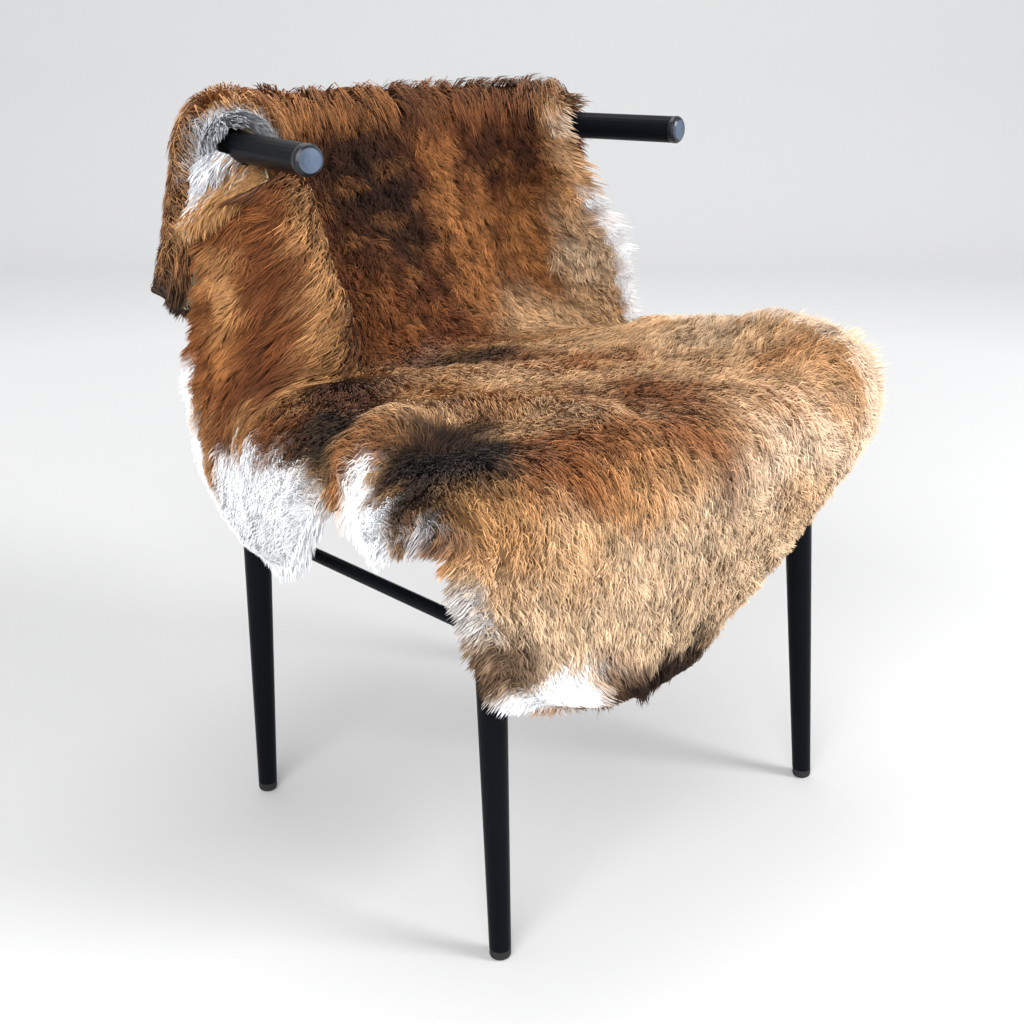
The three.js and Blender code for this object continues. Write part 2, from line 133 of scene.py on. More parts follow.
class Graph:
    """The node tree of one material."""

    def __init__(self, name: str) -> None:
        """Makes an empty material with its Principled shader.

        Args:
            name: The material's name.
        """
        self.material = bpy.data.materials.new(name)
        self.material.use_nodes = True
        self.tree = self.material.node_tree
        self.shader = self.tree.nodes["Principled BSDF"]

    def add(self, kind: str, settings: dict[str, object], sockets: dict[object, object],
            out: object = 0) -> Socket:
        """Adds any node.

        Args:
            kind: The node's type.
            settings: The node's own properties, set first.
            sockets: Values or links of its inputs, by name or place.
            out: Name or place of the output that is returned.

        Returns:
            The chosen output.
        """
        node = self.tree.nodes.new(kind)
        for key, value in settings.items():
            if key == "stops":
                self._set_stops(node.color_ramp, value)
            else:
                setattr(node, key, value)
        for key, value in sockets.items():
            self._feed(node.inputs[key], value)
        return Socket(self, node.outputs[out])

    def _feed(self, target: bpy.types.NodeSocket, value: object) -> None:
        """Links or sets one input.

        Args:
            target: The input.
            value: A value, or the socket that it is linked to.
        """
        if isinstance(value, Socket):
            self.tree.links.new(value.output, target)
        elif isinstance(value, tuple) and len(value) == 3 and target.type == "RGBA":
            target.default_value = (*value, 1.0)
        else:
            target.default_value = value

    @staticmethod
    def _set_stops(ramp: bpy.types.ColorRamp, stops: list[tuple[float, Colour]]) -> None:
        """Gives a ramp its stops.

        Args:
            ramp: The node's colour ramp.
            stops: Places from 0 to 1, and their colours.
        """
        while len(ramp.elements) < len(stops):
            ramp.elements.new(1.0)
        for element, (place, colour) in zip(ramp.elements, stops):
            element.position = place
            element.color = (*colour, 1.0)

    def place(self) -> Socket:
        """Returns the point on the surface, in the object's own metres."""
        return self.add("ShaderNodeTexCoord", {}, {}, "Object")

    def stored(self, name: str, output: str) -> Socket:
        """Returns a value that the mesh stores at its vertices."""
        return self.add("ShaderNodeAttribute", {"attribute_name": name}, {}, output)

    def noise(self, scale: float, detail: float, rough: float) -> Socket:
        """Adds a noise field over the surface.

        Args:
            scale: Waves per metre.
            detail: Octaves.
            rough: Strength of the finer octaves.

        Returns:
            A value from 0 to 1.
        """
        sockets = {"Vector": self.place(), "Scale": scale, "Detail": detail, "Roughness": rough}
        return self.add("ShaderNodeTexNoise", {}, sockets, 0)

    def blend(self, share: object, first: object, second: object, way: str = "MIX") -> Socket:
        """Blends two colours.

        Args:
            share: How much of the second shows.
            first: The colour below.
            second: The colour above.
            way: The blend mode.

        Returns:
            The blended colour.
        """
        settings = {"data_type": "RGBA", "blend_type": way}
        return self.add("ShaderNodeMix", settings, {0: share, 6: first, 7: second}, 2)

    def shaded(self, tint: Socket, shade: Socket) -> Socket:
        """Darkens a colour by a shade, and the less so the paler the colour is."""
        pale = self.add("ShaderNodeRGBToBW", {}, {0: tint})
        return self.blend(1.0 - pale, tint, shade, "MULTIPLY")

    def ramp(self, value: Socket, stops: list[tuple[float, Colour]]) -> Socket:
        """Turns a value into a colour."""
        return self.add("ShaderNodeValToRGB", {"stops": stops}, {0: value}, 0)

    def bump(self, height: Socket, strength: float, distance: float) -> Socket:
        """Turns a height into a normal, with its depth in metres."""
        sockets = {"Height": height, "Strength": strength, "Distance": distance}
        return self.add("ShaderNodeBump", {}, sockets, 0)

    def surface(self, **sockets: object) -> bpy.types.Material:
        """Feeds the Principled shader and returns the material.

        Args:
            sockets: Inputs by name, with underscores for spaces.

        Returns:
            The finished material.
        """
        for key, value in sockets.items():
            self._feed(self.shader.inputs[key.replace("_", " ")], value)
        return self.material


# Finishes


@dataclass(frozen=True)
class WoolFinish:
    """Locks of wool: their own tint, darker at the root than at the tip, partly for their paler tips and
    partly as painted shade deep in the fleece.
    """

    name: str = "wool_locks"
    root_shade: float = 0.5
    middle_shade: float = 0.86
    middle: float = 0.55
    hair_scale: float = 1400.0
    roughness: float = 0.6
    specular: float = 0.1
    sheen: float = 0.05
    sheen_roughness: float = 0.5

    def make(self) -> bpy.types.Material:
        """Builds the locks' material.

        Returns:
            The material.
        """
        graph = Graph(self.name)
        tint = graph.stored(TINT_NAME, "Color")
        reach = graph.stored(REACH_NAME, "Fac")
        hairs = graph.noise(self.hair_scale, 2.0, 0.7)
        # Painted shade: the ramp darkens each lock towards its root, deep in the fleece, and less so for pale
        # wool.
        shade = graph.ramp(reach * 0.85 + hairs * 0.3 - 0.15, [
            (0.0, grey(self.root_shade)), (self.middle, grey(self.middle_shade)), (1.0, grey(1.0))])
        return graph.surface(Base_Color=graph.shaded(tint, shade), Roughness=hairs * 0.25 + self.roughness,
                             Specular_IOR_Level=self.specular, Sheen_Weight=self.sheen,
                             Sheen_Roughness=self.sheen_roughness)


@dataclass(frozen=True)
class UndercoatFinish:
    """The dense short wool between the locks, darkened with painted shade for lying deep under them."""

    name: str = "wool_undercoat"
    depth_shade: float = 0.62
    hollow_shade_share: float = 0.45
    fuzz_scale: float = 520.0
    fuzz_height: float = 0.003
    roughness: float = 0.75
    specular: float = 0.1

    def make(self) -> bpy.types.Material:
        """Builds the undercoat's material.

        Returns:
            The material.
        """
        graph = Graph(self.name)
        tint = graph.stored(TINT_NAME, "Color")
        fuzz = graph.noise(self.fuzz_scale, 4.0, 0.7)
        # Painted shade: the undercoat is darkened for its depth under the locks, and more in the hollows of
        # its fuzz.
        hollow = self.depth_shade * self.hollow_shade_share
        shade = graph.ramp(fuzz, [(0.3, grey(hollow)), (0.75, grey(self.depth_shade))])
        return graph.surface(Base_Color=graph.shaded(tint, shade), Roughness=fuzz * 0.2 + self.roughness,
                             Specular_IOR_Level=self.specular, Normal=graph.bump(fuzz, 0.9, self.fuzz_height))


@dataclass(frozen=True)
class LeatherFinish:
    """The tanned leather side: pale suede, a little mottled."""

    name: str = "skin_leather"
    pale: Colour = paint("d9cbb2")
    dark: Colour = paint("bfa985")
    cloud_scale: float = 14.0
    nap_scale: float = 900.0
    nap_height: float = 0.0015
    roughness: float = 0.78
    specular: float = 0.2

    def make(self) -> bpy.types.Material:
        """Builds the leather's material.

        Returns:
            The material.
        """
        graph = Graph(self.name)
        cloud = graph.noise(self.cloud_scale, 5.0, 0.6)
        nap = graph.noise(self.nap_scale, 3.0, 0.6)
        colour = graph.blend(cloud * 1.2 - 0.2, self.pale, self.dark)
        return graph.surface(Base_Color=colour, Roughness=nap * 0.15 + self.roughness,
                             Specular_IOR_Level=self.specular,
                             Normal=graph.bump(nap * 0.4 + cloud, 0.5, self.nap_height))


@dataclass(frozen=True)
class CoatFinish:
    """A moulded or powder-coated finish with a fine grain and, where given, a painted highlight on faces that
    look straight to the front.
    """

    name: str
    colour: Colour
    worn: Colour
    roughness: float
    grain_scale: float
    coat: float = 0.0
    specular: float = 0.5
    # A lighter colour that paints a highlight on faces that look to the front.
    front: Colour | None = None
    front_highlight_rate: float = 8.0
    front_highlight_start: float = 6.9
    smudge_scale: float = 9.0
    grain_height: float = 0.0004

    def make(self) -> bpy.types.Material:
        """Builds the finish's material.

        Returns:
            The material.
        """
        graph = Graph(self.name)
        grain = graph.noise(self.grain_scale, 3.0, 0.55)
        smudge = graph.noise(self.smudge_scale, 4.0, 0.6)
        colour = graph.blend(smudge, self.colour, self.worn)
        # Painted highlight: faces that look to the front are blended to the lighter front colour.
        if self.front:
            normal = graph.add("ShaderNodeNewGeometry", {}, {}, "Normal")
            facing = graph.add("ShaderNodeVectorMath", {"operation": "DOT_PRODUCT"},
                               {0: normal, 1: (0.0, -1.0, 0.0)}, "Value")
            colour = graph.blend(facing * self.front_highlight_rate - self.front_highlight_start, colour, self.front)
        return graph.surface(Base_Color=colour,
                             Roughness=smudge * 0.12 + grain * 0.08 + (self.roughness - 0.1),
                             Coat_Weight=self.coat, Specular_IOR_Level=self.specular,
                             Normal=graph.bump(grain, 0.25, self.grain_height))


@dataclass(frozen=True)
class FloorFinish:
    """Plain pale studio floor, painted lighter further away and up the wall, where the lamps' light falls
    off.
    """

    name: str = "studio_floor"
    floor: Colour = paint("c9c9c9")
    far: Colour = paint("e8e8e8")
    wall: Colour = paint("e2e2e2")
    haze_scale: float = 1.2
    fade_rate: float = 0.6
    wall_rate: float = 1.6
    roughness: float = 0.95

    def make(self) -> bpy.types.Material:
        """Builds the floor's material.

        Returns:
            The material.
        """
        graph = Graph(self.name)
        haze = graph.noise(self.haze_scale, 2.0, 0.5)
        height = graph.add("ShaderNodeSeparateXYZ", {}, {0: graph.place()}, "Z")
        away = graph.add("ShaderNodeVectorMath", {"operation": "LENGTH"}, {0: graph.place()}, "Value")
        # Painted light: the colour rises with distance and up the wall, making up for the lamps' light
        # falling off there.
        past = away * self.fade_rate - self.fade_rate
        ground = graph.blend(past + haze * 0.1, self.floor, self.far)
        colour = graph.blend(height * self.wall_rate + haze * 0.05, ground, self.wall)
        return graph.surface(Base_Color=colour, Roughness=self.roughness, Specular_IOR_Level=0.0)


# The skin's surface, from the same sizes as its solid


@dataclass
class Rail:
    """The armchair's bow rail in plan, in millimetres."""

    back_y: float = 304.4
    back_half: float = 89.1
    bend: float = 140.0
    splay: float = 12.0
    height: float = 739.0

    @property
    def bend_angle(self) -> float:
        """The angle that each bend turns through."""
        return math.radians(90 - self.splay)

    @property
    def bend_length(self) -> float:
        """The length of each bend."""
        return self.bend * self.bend_angle

    def plan(self, distance: np.ndarray, curl: float) -> tuple[np.ndarray, np.ndarray, np.ndarray]:
        """Places along one side of the rail.

        Args:
            distance: Distance from the rail's middle.
            curl: How far the rail's bend is followed, from 0 to 1.

        Returns:
            Place across, place along the depth, and heading.
        """
        turned = curl * self.bend_angle
        bent = np.clip(distance - self.back_half, 0, self.bend_length)
        heading = turned * bent / self.bend_length
        if turned > 1e-6:
            radius = self.bend_length / turned
            bend_x, bend_y = radius * np.sin(heading), radius * (1 - np.cos(heading))
        else:
            bend_x, bend_y = bent, np.zeros_like(bent)
        straight = np.minimum(distance, self.back_half)
        beyond = np.maximum(distance - self.back_half - self.bend_length, 0)
        across = straight + bend_x + beyond * np.cos(heading)
        deep = self.back_y - bend_y - beyond * np.sin(heading)
        return across, deep, heading


SECTION_COLUMNS = ("at", "curlL", "curlR", "shift", "left", "right",
                   "upAtL", "upL", "downAtL", "downL", "upAtR", "upR", "downAtR", "downR")
SECTIONS = (
    (0, 0.95, 0.95, -30, 130, 100, 120, 0, 260, 0, 200, 0, 300, 0),
    (52, 0.95, 0.95, -10, 246, 225, 120, 0, 260, 0, 200, 0, 300, 0),
    (127, 1, 1, 0, 264, 275, 120, 0, 260, 0, 200, 0, 300, 0),
    (202, 1, 1, 0, 268, 290, 120, 0, 260, 0, 200, 0, 320, 0),
    (237, 1, 1, 0, 284, 298, 120, 0, 260, 0, 200, 0, 320, 0),
    (294, 0.98, 1, 0, 292, 318, 100, 0, 250, 0, 200, 0, 320, 0),
    (330, 0.5, 1, 0, 358, 350, 85, 28, 264, 114, 200, 0, 320, 0),
    (412, 0.4, 0.85, 0, 386, 398, 85, 32, 253, 114, 200, 0, 320, 0),
    (512, 0.25, 0.5, 0, 404, 374, 85, 39, 216, 110, 190, 8, 320, 0),
    (562, 0.15, 0.32, 0, 404, 354, 92, 26, 220, 103, 160, 13, 300, 0),
    (612, 0.06, 0.18, 0, 400, 342, 108, 8, 230, 96, 150, 15, 300, 0),
    (702, 0, 0, 0, 372, 332, 120, 0, 236, 88, 150, 12, 300, 0),
    (782, 0, 0, 0, 285, 328, 120, 0, 236, 70, 150, 17, 300, 0),
    (862, 0, 0, 0, 330, 328, 120, 0, 238, 60, 150, 25, 300, 0),
    (927, 0, 0, 0, 318, 318, 120, 0, 246, 40, 150, 25, 270, 4),
    (972, 0, 0, -5, 306, 280, 120, 0, 246, 26, 150, 14, 250, 4),
    (1017, 0, 0, -15, 292, 228, 120, 0, 250, 16, 150, 4, 240, 0),
    (1067, 0, 0, -40, 252, 180, 120, 0, 250, 12, 150, 0, 240, 0),
    (1112, 0, 0, -70, 196, 118, 120, 0, 250, 8, 150, 0, 240, 0),
    (1140, 0, 0, -84, 126, 80, 120, 0, 250, 4, 150, 0, 240, 0),
    (1159, 0, 0, -88, 58, 42, 120, 0, 250, 0, 150, 0, 240, 0),
)
MIDDLE_LINE = (
    ("flap behind the rail", 207, 0),
    ("over the rail", 61, -158),
    ("down the back", 255, 18),
    ("into the seat", 85, 62),
    ("across the seat", 320, 0),
    ("over the front edge", 60, -84),
    ("front drape", 171, -5),
)
FOLDS = (
    ("ridge round the left knee", ((812, -296), (782, -205), (786, -130), (826, -80), (900, -66)), 21, 25),
    ("seat fold from the pleat", ((640, -200), (655, -90), (700, 40)), 9, 22),
    ("left front lobe", ((897, -290), (977, -215)), 8, 42),
    ("right seat swell", ((740, 90), (860, 150)), 7, 46),
    ("back wrinkle", ((312, 70), (492, 20)), -6, 26),
    ("back swell", ((312, -30), (482, -70)), 6, 34),
    ("right back hollow", ((330, 215), (470, 160)), -5, 30),
    ("drape swell", ((972, -60), (1102, -120)), 8, 50),
    ("drape trough", ((1030, 48), (1092, 8)), -6, 26),
)
SHORT_WOOL = (
    ("under the left arm", (324, -335), 40, 0.3),
    ("right back corner", (590, 318), 66, 0.3),
    ("left edge at the rail", (300, -280), 26, 0.6),
)


# How many waves a ripple adds up, and how high they usually reach together.
WAVE_COUNT = 7
WAVE_PEAK = 3.2


def smooth_step(value: np.ndarray) -> np.ndarray:
    """Returns an eased value from 0 to 1."""
    held = np.clip(value, 0, 1)
    return held * held * (3 - 2 * held)


def column_curve(places: np.ndarray, values: np.ndarray, where: np.ndarray) -> np.ndarray:
    """Reads one column of a table smoothly, with no overshoot between its rows.

    Args:
        places: Where the rows are.
        values: The column's values.
        where: The places to read.

    Returns:
        The values there.
    """
    steps = np.diff(places)
    slopes = np.diff(values) / steps
    tangents = np.zeros_like(values)
    tangents[0], tangents[-1] = slopes[0], slopes[-1]
    for i in range(1, len(values) - 1):
        if slopes[i - 1] * slopes[i] > 0:
            before = 2 * steps[i] + steps[i - 1]
            after = steps[i] + 2 * steps[i - 1]
            tangents[i] = (before + after) / (before / slopes[i - 1] + after / slopes[i])
    i = np.clip(np.searchsorted(places, where, side="left") - 1, 0, len(steps) - 1)
    t = (where - places[i]) / steps[i]
    return ((1 + 2 * t) * (1 - t) ** 2 * values[i] + t * (1 - t) ** 2 * steps[i] * tangents[i]
            + t * t * (3 - 2 * t) * values[i + 1] + t * t * (t - 1) * steps[i] * tangents[i + 1])


def unit(vectors: np.ndarray) -> np.ndarray:
    """Returns vectors of length 1."""
    return vectors / (np.linalg.norm(vectors, axis=-1, keepdims=True) + 1e-12)


def ripple(along: np.ndarray, across: np.ndarray, wave: float, seed: int) -> np.ndarray:
    """A smooth random field on the skin, about from -1 to 1.

    Args:
        along: Distance along the middle line.
        across: Distance across it.
        wave: Usual wavelength.
        seed: Which field.

    Returns:
        The field's values.
    """
    rng = np.random.default_rng(seed)
    total = np.zeros(np.shape(along))
    for _ in range(WAVE_COUNT):
        angle, phase, stretch = rng.uniform(0, 2 * math.pi, 2).tolist() + [rng.uniform(0.7, 1.5)]
        run = along * math.cos(angle) + across * math.sin(angle)
        total += np.sin(2 * math.pi * stretch / wave * run + phase)
    return total / WAVE_PEAK


def spot(along: np.ndarray, across: np.ndarray, at: float, off: float, radius: float) -> np.ndarray:
    """How near places on the skin are to a spot, from 1 in its middle down to 0.

    Args:
        along: Distance along the middle line.
        across: Distance across it.
        at: The spot's place along.
        off: The spot's place across.
        radius: How far off about a third of it is left.

    Returns:
        The share at each place.
    """
    return np.exp(-(((along - at) ** 2 + (across - off) ** 2) / radius ** 2))


def turned(ways: np.ndarray, angle: np.ndarray) -> np.ndarray:
    """Returns flat directions turned by their own angles."""
    cos, sin = np.cos(angle), np.sin(angle)
    return np.stack([ways[:, 0] * cos - ways[:, 1] * sin, ways[:, 0] * sin + ways[:, 1] * cos], -1)


@dataclass
class SkinSurface:
    """The skin's leather side, its normals and the wool's depth, on a grid of rows and columns."""

    rail: Rail = field(default_factory=Rail)
    pile: float = 36.0
    rim_rise: float = 0.3
    rim_width: float = 30.0
    crown_gap: float = 20.5
    start_heading: float = 78.0
    rise_span: float = 60.0
    fall_span: float = 72.0
    lump: float = 3.2
    side_step: float = 4.0
    row_count: int = 88
    row_bunching: float = 0.012
    margin_shares: tuple[float, ...] = (-1, -0.962, -0.91)
    inner_columns: int = 27

    def build(self) -> None:
        """Works out the grid: its places, distances along and across, normals, rim and wool depth."""
        length = float(sum(run for _, run, _ in MIDDLE_LINE))
        t = np.arange(self.row_count + 1) / self.row_count
        self.rows = length * (t + self.row_bunching * np.sin(2 * math.pi * t))
        margin, last = list(self.margin_shares), self.margin_shares[-1]
        inner = [last - 2 * last * i / self.inner_columns for i in range(1, self.inner_columns)]
        self.shares = np.array(margin + inner + [-share for share in reversed(margin)])
        table = np.array(SECTIONS, float)
        self.column = {name: column_curve(table[:, 0], table[:, k], self.rows)
                       for k, name in enumerate(SECTION_COLUMNS)}
        crown_at = MIDDLE_LINE[0][1] + MIDDLE_LINE[1][1] * self.start_heading / -MIDDLE_LINE[1][2]
        self.crown = self.middle(crown_at)
        sections = [self._section(i) for i in range(len(self.rows))]
        self.across = np.array([s[0] for s in sections])
        self.along = np.repeat(self.rows[:, None], len(self.shares), 1)
        leather = self._relax(np.array([s[1] for s in sections]), rounds=2)
        flat = self._relax(self._normals(leather), rounds=3)
        self.leather = leather + flat * self.fold_height(self.along, self.across)[..., None]
        self.normals = unit(self._relax(self._normals(self.leather), rounds=4))
        self.depth = self._wool_depth()

    def middle(self, distance: float) -> tuple[float, float, float]:
        """The middle line at a distance along it.

        Args:
            distance: How far from the rear flap's end.

        Returns:
            How far inside the rail's axis, how high, and the heading.
        """
        heading, inside, height, left = math.radians(self.start_heading), 0.0, 0.0, distance
        for _, run, turn in MIDDLE_LINE:
            part = min(left, run)
            turned = math.radians(turn) * part / run
            half = turned / 2
            chord = part * (math.sin(half) / half if abs(half) > 1e-9 else 1)
            inside += chord * math.cos(heading + half)
            height += chord * math.sin(heading + half)
            heading += turned
            left -= part
            if left <= 0:
                break
        return inside, height, heading

    def _side(self, i: int, side: int, reach: float) -> tuple[np.ndarray, np.ndarray]:
        """Places out along one side of a section.

        Args:
            i: The section's row.
            side: -1 for left, 1 for right.
            reach: How far out the skin goes.

        Returns:
            Distances, and the places there.
        """
        inside, height, heading = self.middle(float(self.rows[i]))
        inside -= self.crown[0]
        height += self.rail.height + self.crown_gap - self.crown[1]
        hand = "L" if side < 0 else "R"
        curl, up_at, up, down_at, down = (
            self.column[name + hand][i] for name in ("curl", "upAt", "up", "downAt", "down"))
        step = self.side_step
        distance = np.arange(0, reach + step + 1e-9, step)
        x, y, turn = self.rail.plan(distance, curl)
        outward = np.stack([side * np.cos(turn), -np.sin(turn), 0 * turn], -1)
        inward = np.stack([-side * np.sin(turn), -np.cos(turn), 0 * turn], -1)
        upright = np.array([0, 0, 1.0])
        woolward = -math.sin(heading) * inward + math.cos(heading) * upright
        middle = distance + step / 2
        lift = (math.radians(up) * smooth_step((middle - up_at) / self.rise_span)
                - math.radians(down) * smooth_step((middle - down_at) / self.fall_span))[:, None]
        bend = np.cumsum(step * ((np.cos(lift) - 1) * outward + np.sin(lift) * woolward), 0)
        bend = np.vstack([np.zeros((1, 3)), bend[:-1]])
        places = np.stack([side * x, y, 0 * x + height], -1) + inward * inside + bend
        return distance, places

    def _section(self, i: int) -> tuple[np.ndarray, np.ndarray]:
        """Places along one section.

        Args:
            i: The section's row.

        Returns:
            Distances across for each column, and the places there.
        """
        shift, left, right = (self.column[name][i] for name in ("shift", "left", "right"))
        across = shift + self.shares * np.where(self.shares < 0, left, right)
        places = np.zeros((len(across), 3))
        for side, reach, here in ((-1, left - shift, across < 0), (1, right + shift, across >= 0)):
            if not here.any():
                continue
            distance, line = self._side(i, side, reach)
            for axis in range(3):
                places[here, axis] = np.interp(np.abs(across[here]), distance, line[:, axis])
        return across, places

    @staticmethod
    def _normals(grid: np.ndarray) -> np.ndarray:
        """Normals of a grid, towards the wool.

        Args:
            grid: Places by row and column.

        Returns:
            A normal for each place.
        """
        tall = np.vstack([grid[:1], grid, grid[-1:]])
        wide = np.concatenate([grid[:, :1], grid, grid[:, -1:]], 1)
        return unit(np.cross(tall[2:] - tall[:-2], wide[:, 2:] - wide[:, :-2]))

    @staticmethod
    def _relax(grid: np.ndarray, rounds: int) -> np.ndarray:
        """Evens out a grid inside its border.

        Args:
            grid: Values by row and column.
            rounds: How often.

        Returns:
            The evened grid.
        """
        now = grid.copy()
        for _ in range(rounds):
            around = (now[:-2, 1:-1] + now[2:, 1:-1] + now[1:-1, :-2] + now[1:-1, 2:]) / 4
            now[1:-1, 1:-1] = (now[1:-1, 1:-1] + around) / 2
        return now

    @staticmethod
    def fold_height(along: np.ndarray, across: np.ndarray) -> np.ndarray:
        """Height of the soft folds.

        Args:
            along: Distance along the middle line.
            across: Distance across it.

        Returns:
            The height at each place.
        """
        height = np.zeros(np.shape(along))
        for _, path, tall, width in FOLDS:
            away = np.full(np.shape(along), np.inf)
            for start, end in zip(path, path[1:]):
                run = (end[0] - start[0], end[1] - start[1])
                off = (along - start[0], across - start[1])
                t = np.clip((off[0] * run[0] + off[1] * run[1]) / (run[0] ** 2 + run[1] ** 2), 0, 1)
                away = np.minimum(away, np.hypot(off[0] - t * run[0], off[1] - t * run[1]))
            height += tall * np.exp(-((away / width) ** 2))
        return height

    def _wool_depth(self) -> np.ndarray:
        """The wool's depth at each place of the grid.

        Returns:
            The depth, with its rim and its lumps.
        """
        ends = np.minimum(self.along - self.rows[0], self.rows[-1] - self.along)
        sides = np.minimum(self.across[:, -1:] - self.across, self.across - self.across[:, :1])
        self.edge = np.minimum(ends, sides)
        round_off = np.sqrt(1 - (1 - np.minimum(self.edge / self.rim_width, 1)) ** 2)
        share = np.ones_like(self.along)
        for _, place, radius, keep in SHORT_WOOL:
            away = np.hypot(self.along - place[0], self.across - place[1])
            share *= 1 - (1 - keep) * np.exp(-((away / radius) ** 2))
        rise = self.rim_rise + (1 - self.rim_rise) * round_off
        return share * (self.pile * rise + round_off * self._lumps(self.along, self.across))

    def _lumps(self, along: np.ndarray, across: np.ndarray) -> np.ndarray:
        """Lumps in the wool: crossed waves about 0.1 m long, and slanting ones of about 0.25 m."""
        short = np.sin(along / 17 + 1.3 * np.sin(across / 31)) * np.sin(across / 19 + 0.8)
        return self.lump * (short + 0.6 * np.sin(along / 41 - across / 37 + 2))

    def fields(self) -> np.ndarray:
        """Stacks everything on the grid: place, normal, both tangents, then the single values.

        Returns:
            An array by row, column and field, in the order that SkinReader reads.
        """
        lengthwise = np.gradient(self.leather, axis=0)
        crosswise = np.gradient(self.leather, axis=1)
        gaps = self.across - self.across[:, :1], self.across[:, -1:] - self.across
        scalars = np.stack([self.depth, self.along, self.across, self.edge, *gaps], -1)
        return np.concatenate([self.leather, self.normals, lengthwise, crosswise, scalars], -1)


PLACE, NORMAL, LENGTHWISE, CROSSWISE = slice(0, 3), slice(3, 6), slice(6, 9), slice(9, 12)
SINGLE_FIELDS = ("depth", "along", "across", "edge", "left_gap", "right_gap")


@dataclass
class SkinReader:
    """Reads the skin's grid between its rows and columns, and past its rim."""

    grid: np.ndarray

    def read(self, row: np.ndarray, column: np.ndarray) -> dict[str, np.ndarray]:
        """Reads the skin at places given in rows and columns.

        Args:
            row: Places along, in rows.
            column: Places across, in columns.

        Returns:
            The named fields there, in millimetres.
        """
        rows, columns, count = self.grid.shape
        held_row, held_column = np.clip(row, 0, rows - 1.001), np.clip(column, 0, columns - 1.001)
        i, j = held_row.astype(int), held_column.astype(int)
        wi, wj = self._weights(held_row - i), self._weights(held_column - j)
        out = np.zeros((len(row), count))
        for a in range(4):
            ii = np.clip(i + a - 1, 0, rows - 1)
            for b in range(4):
                jj = np.clip(j + b - 1, 0, columns - 1)
                out += (wi[a] * wj[b])[:, None] * self.grid[ii, jj]
        past_row, past_column = (row - held_row)[:, None], (column - held_column)[:, None]
        out[:, PLACE] += past_row * out[:, LENGTHWISE] + past_column * out[:, CROSSWISE]
        singles = {name: out[:, CROSSWISE.stop + k] for k, name in enumerate(SINGLE_FIELDS)}
        return {"place": out[:, PLACE], "normal": unit(out[:, NORMAL]), "lengthwise": out[:, LENGTHWISE],
                "crosswise": out[:, CROSSWISE], **singles}

    @staticmethod
    def _weights(t: np.ndarray) -> list[np.ndarray]:
        """Four weights of a curve through its points."""
        return [0.5 * (-t + 2 * t ** 2 - t ** 3), 0.5 * (2 - 5 * t ** 2 + 3 * t ** 3),
                0.5 * (t + 4 * t ** 2 - 3 * t ** 3), 0.5 * (-t ** 2 + t ** 3)]


# The fleece's colours and lie, placed in millimetres along the skin's middle line and across it

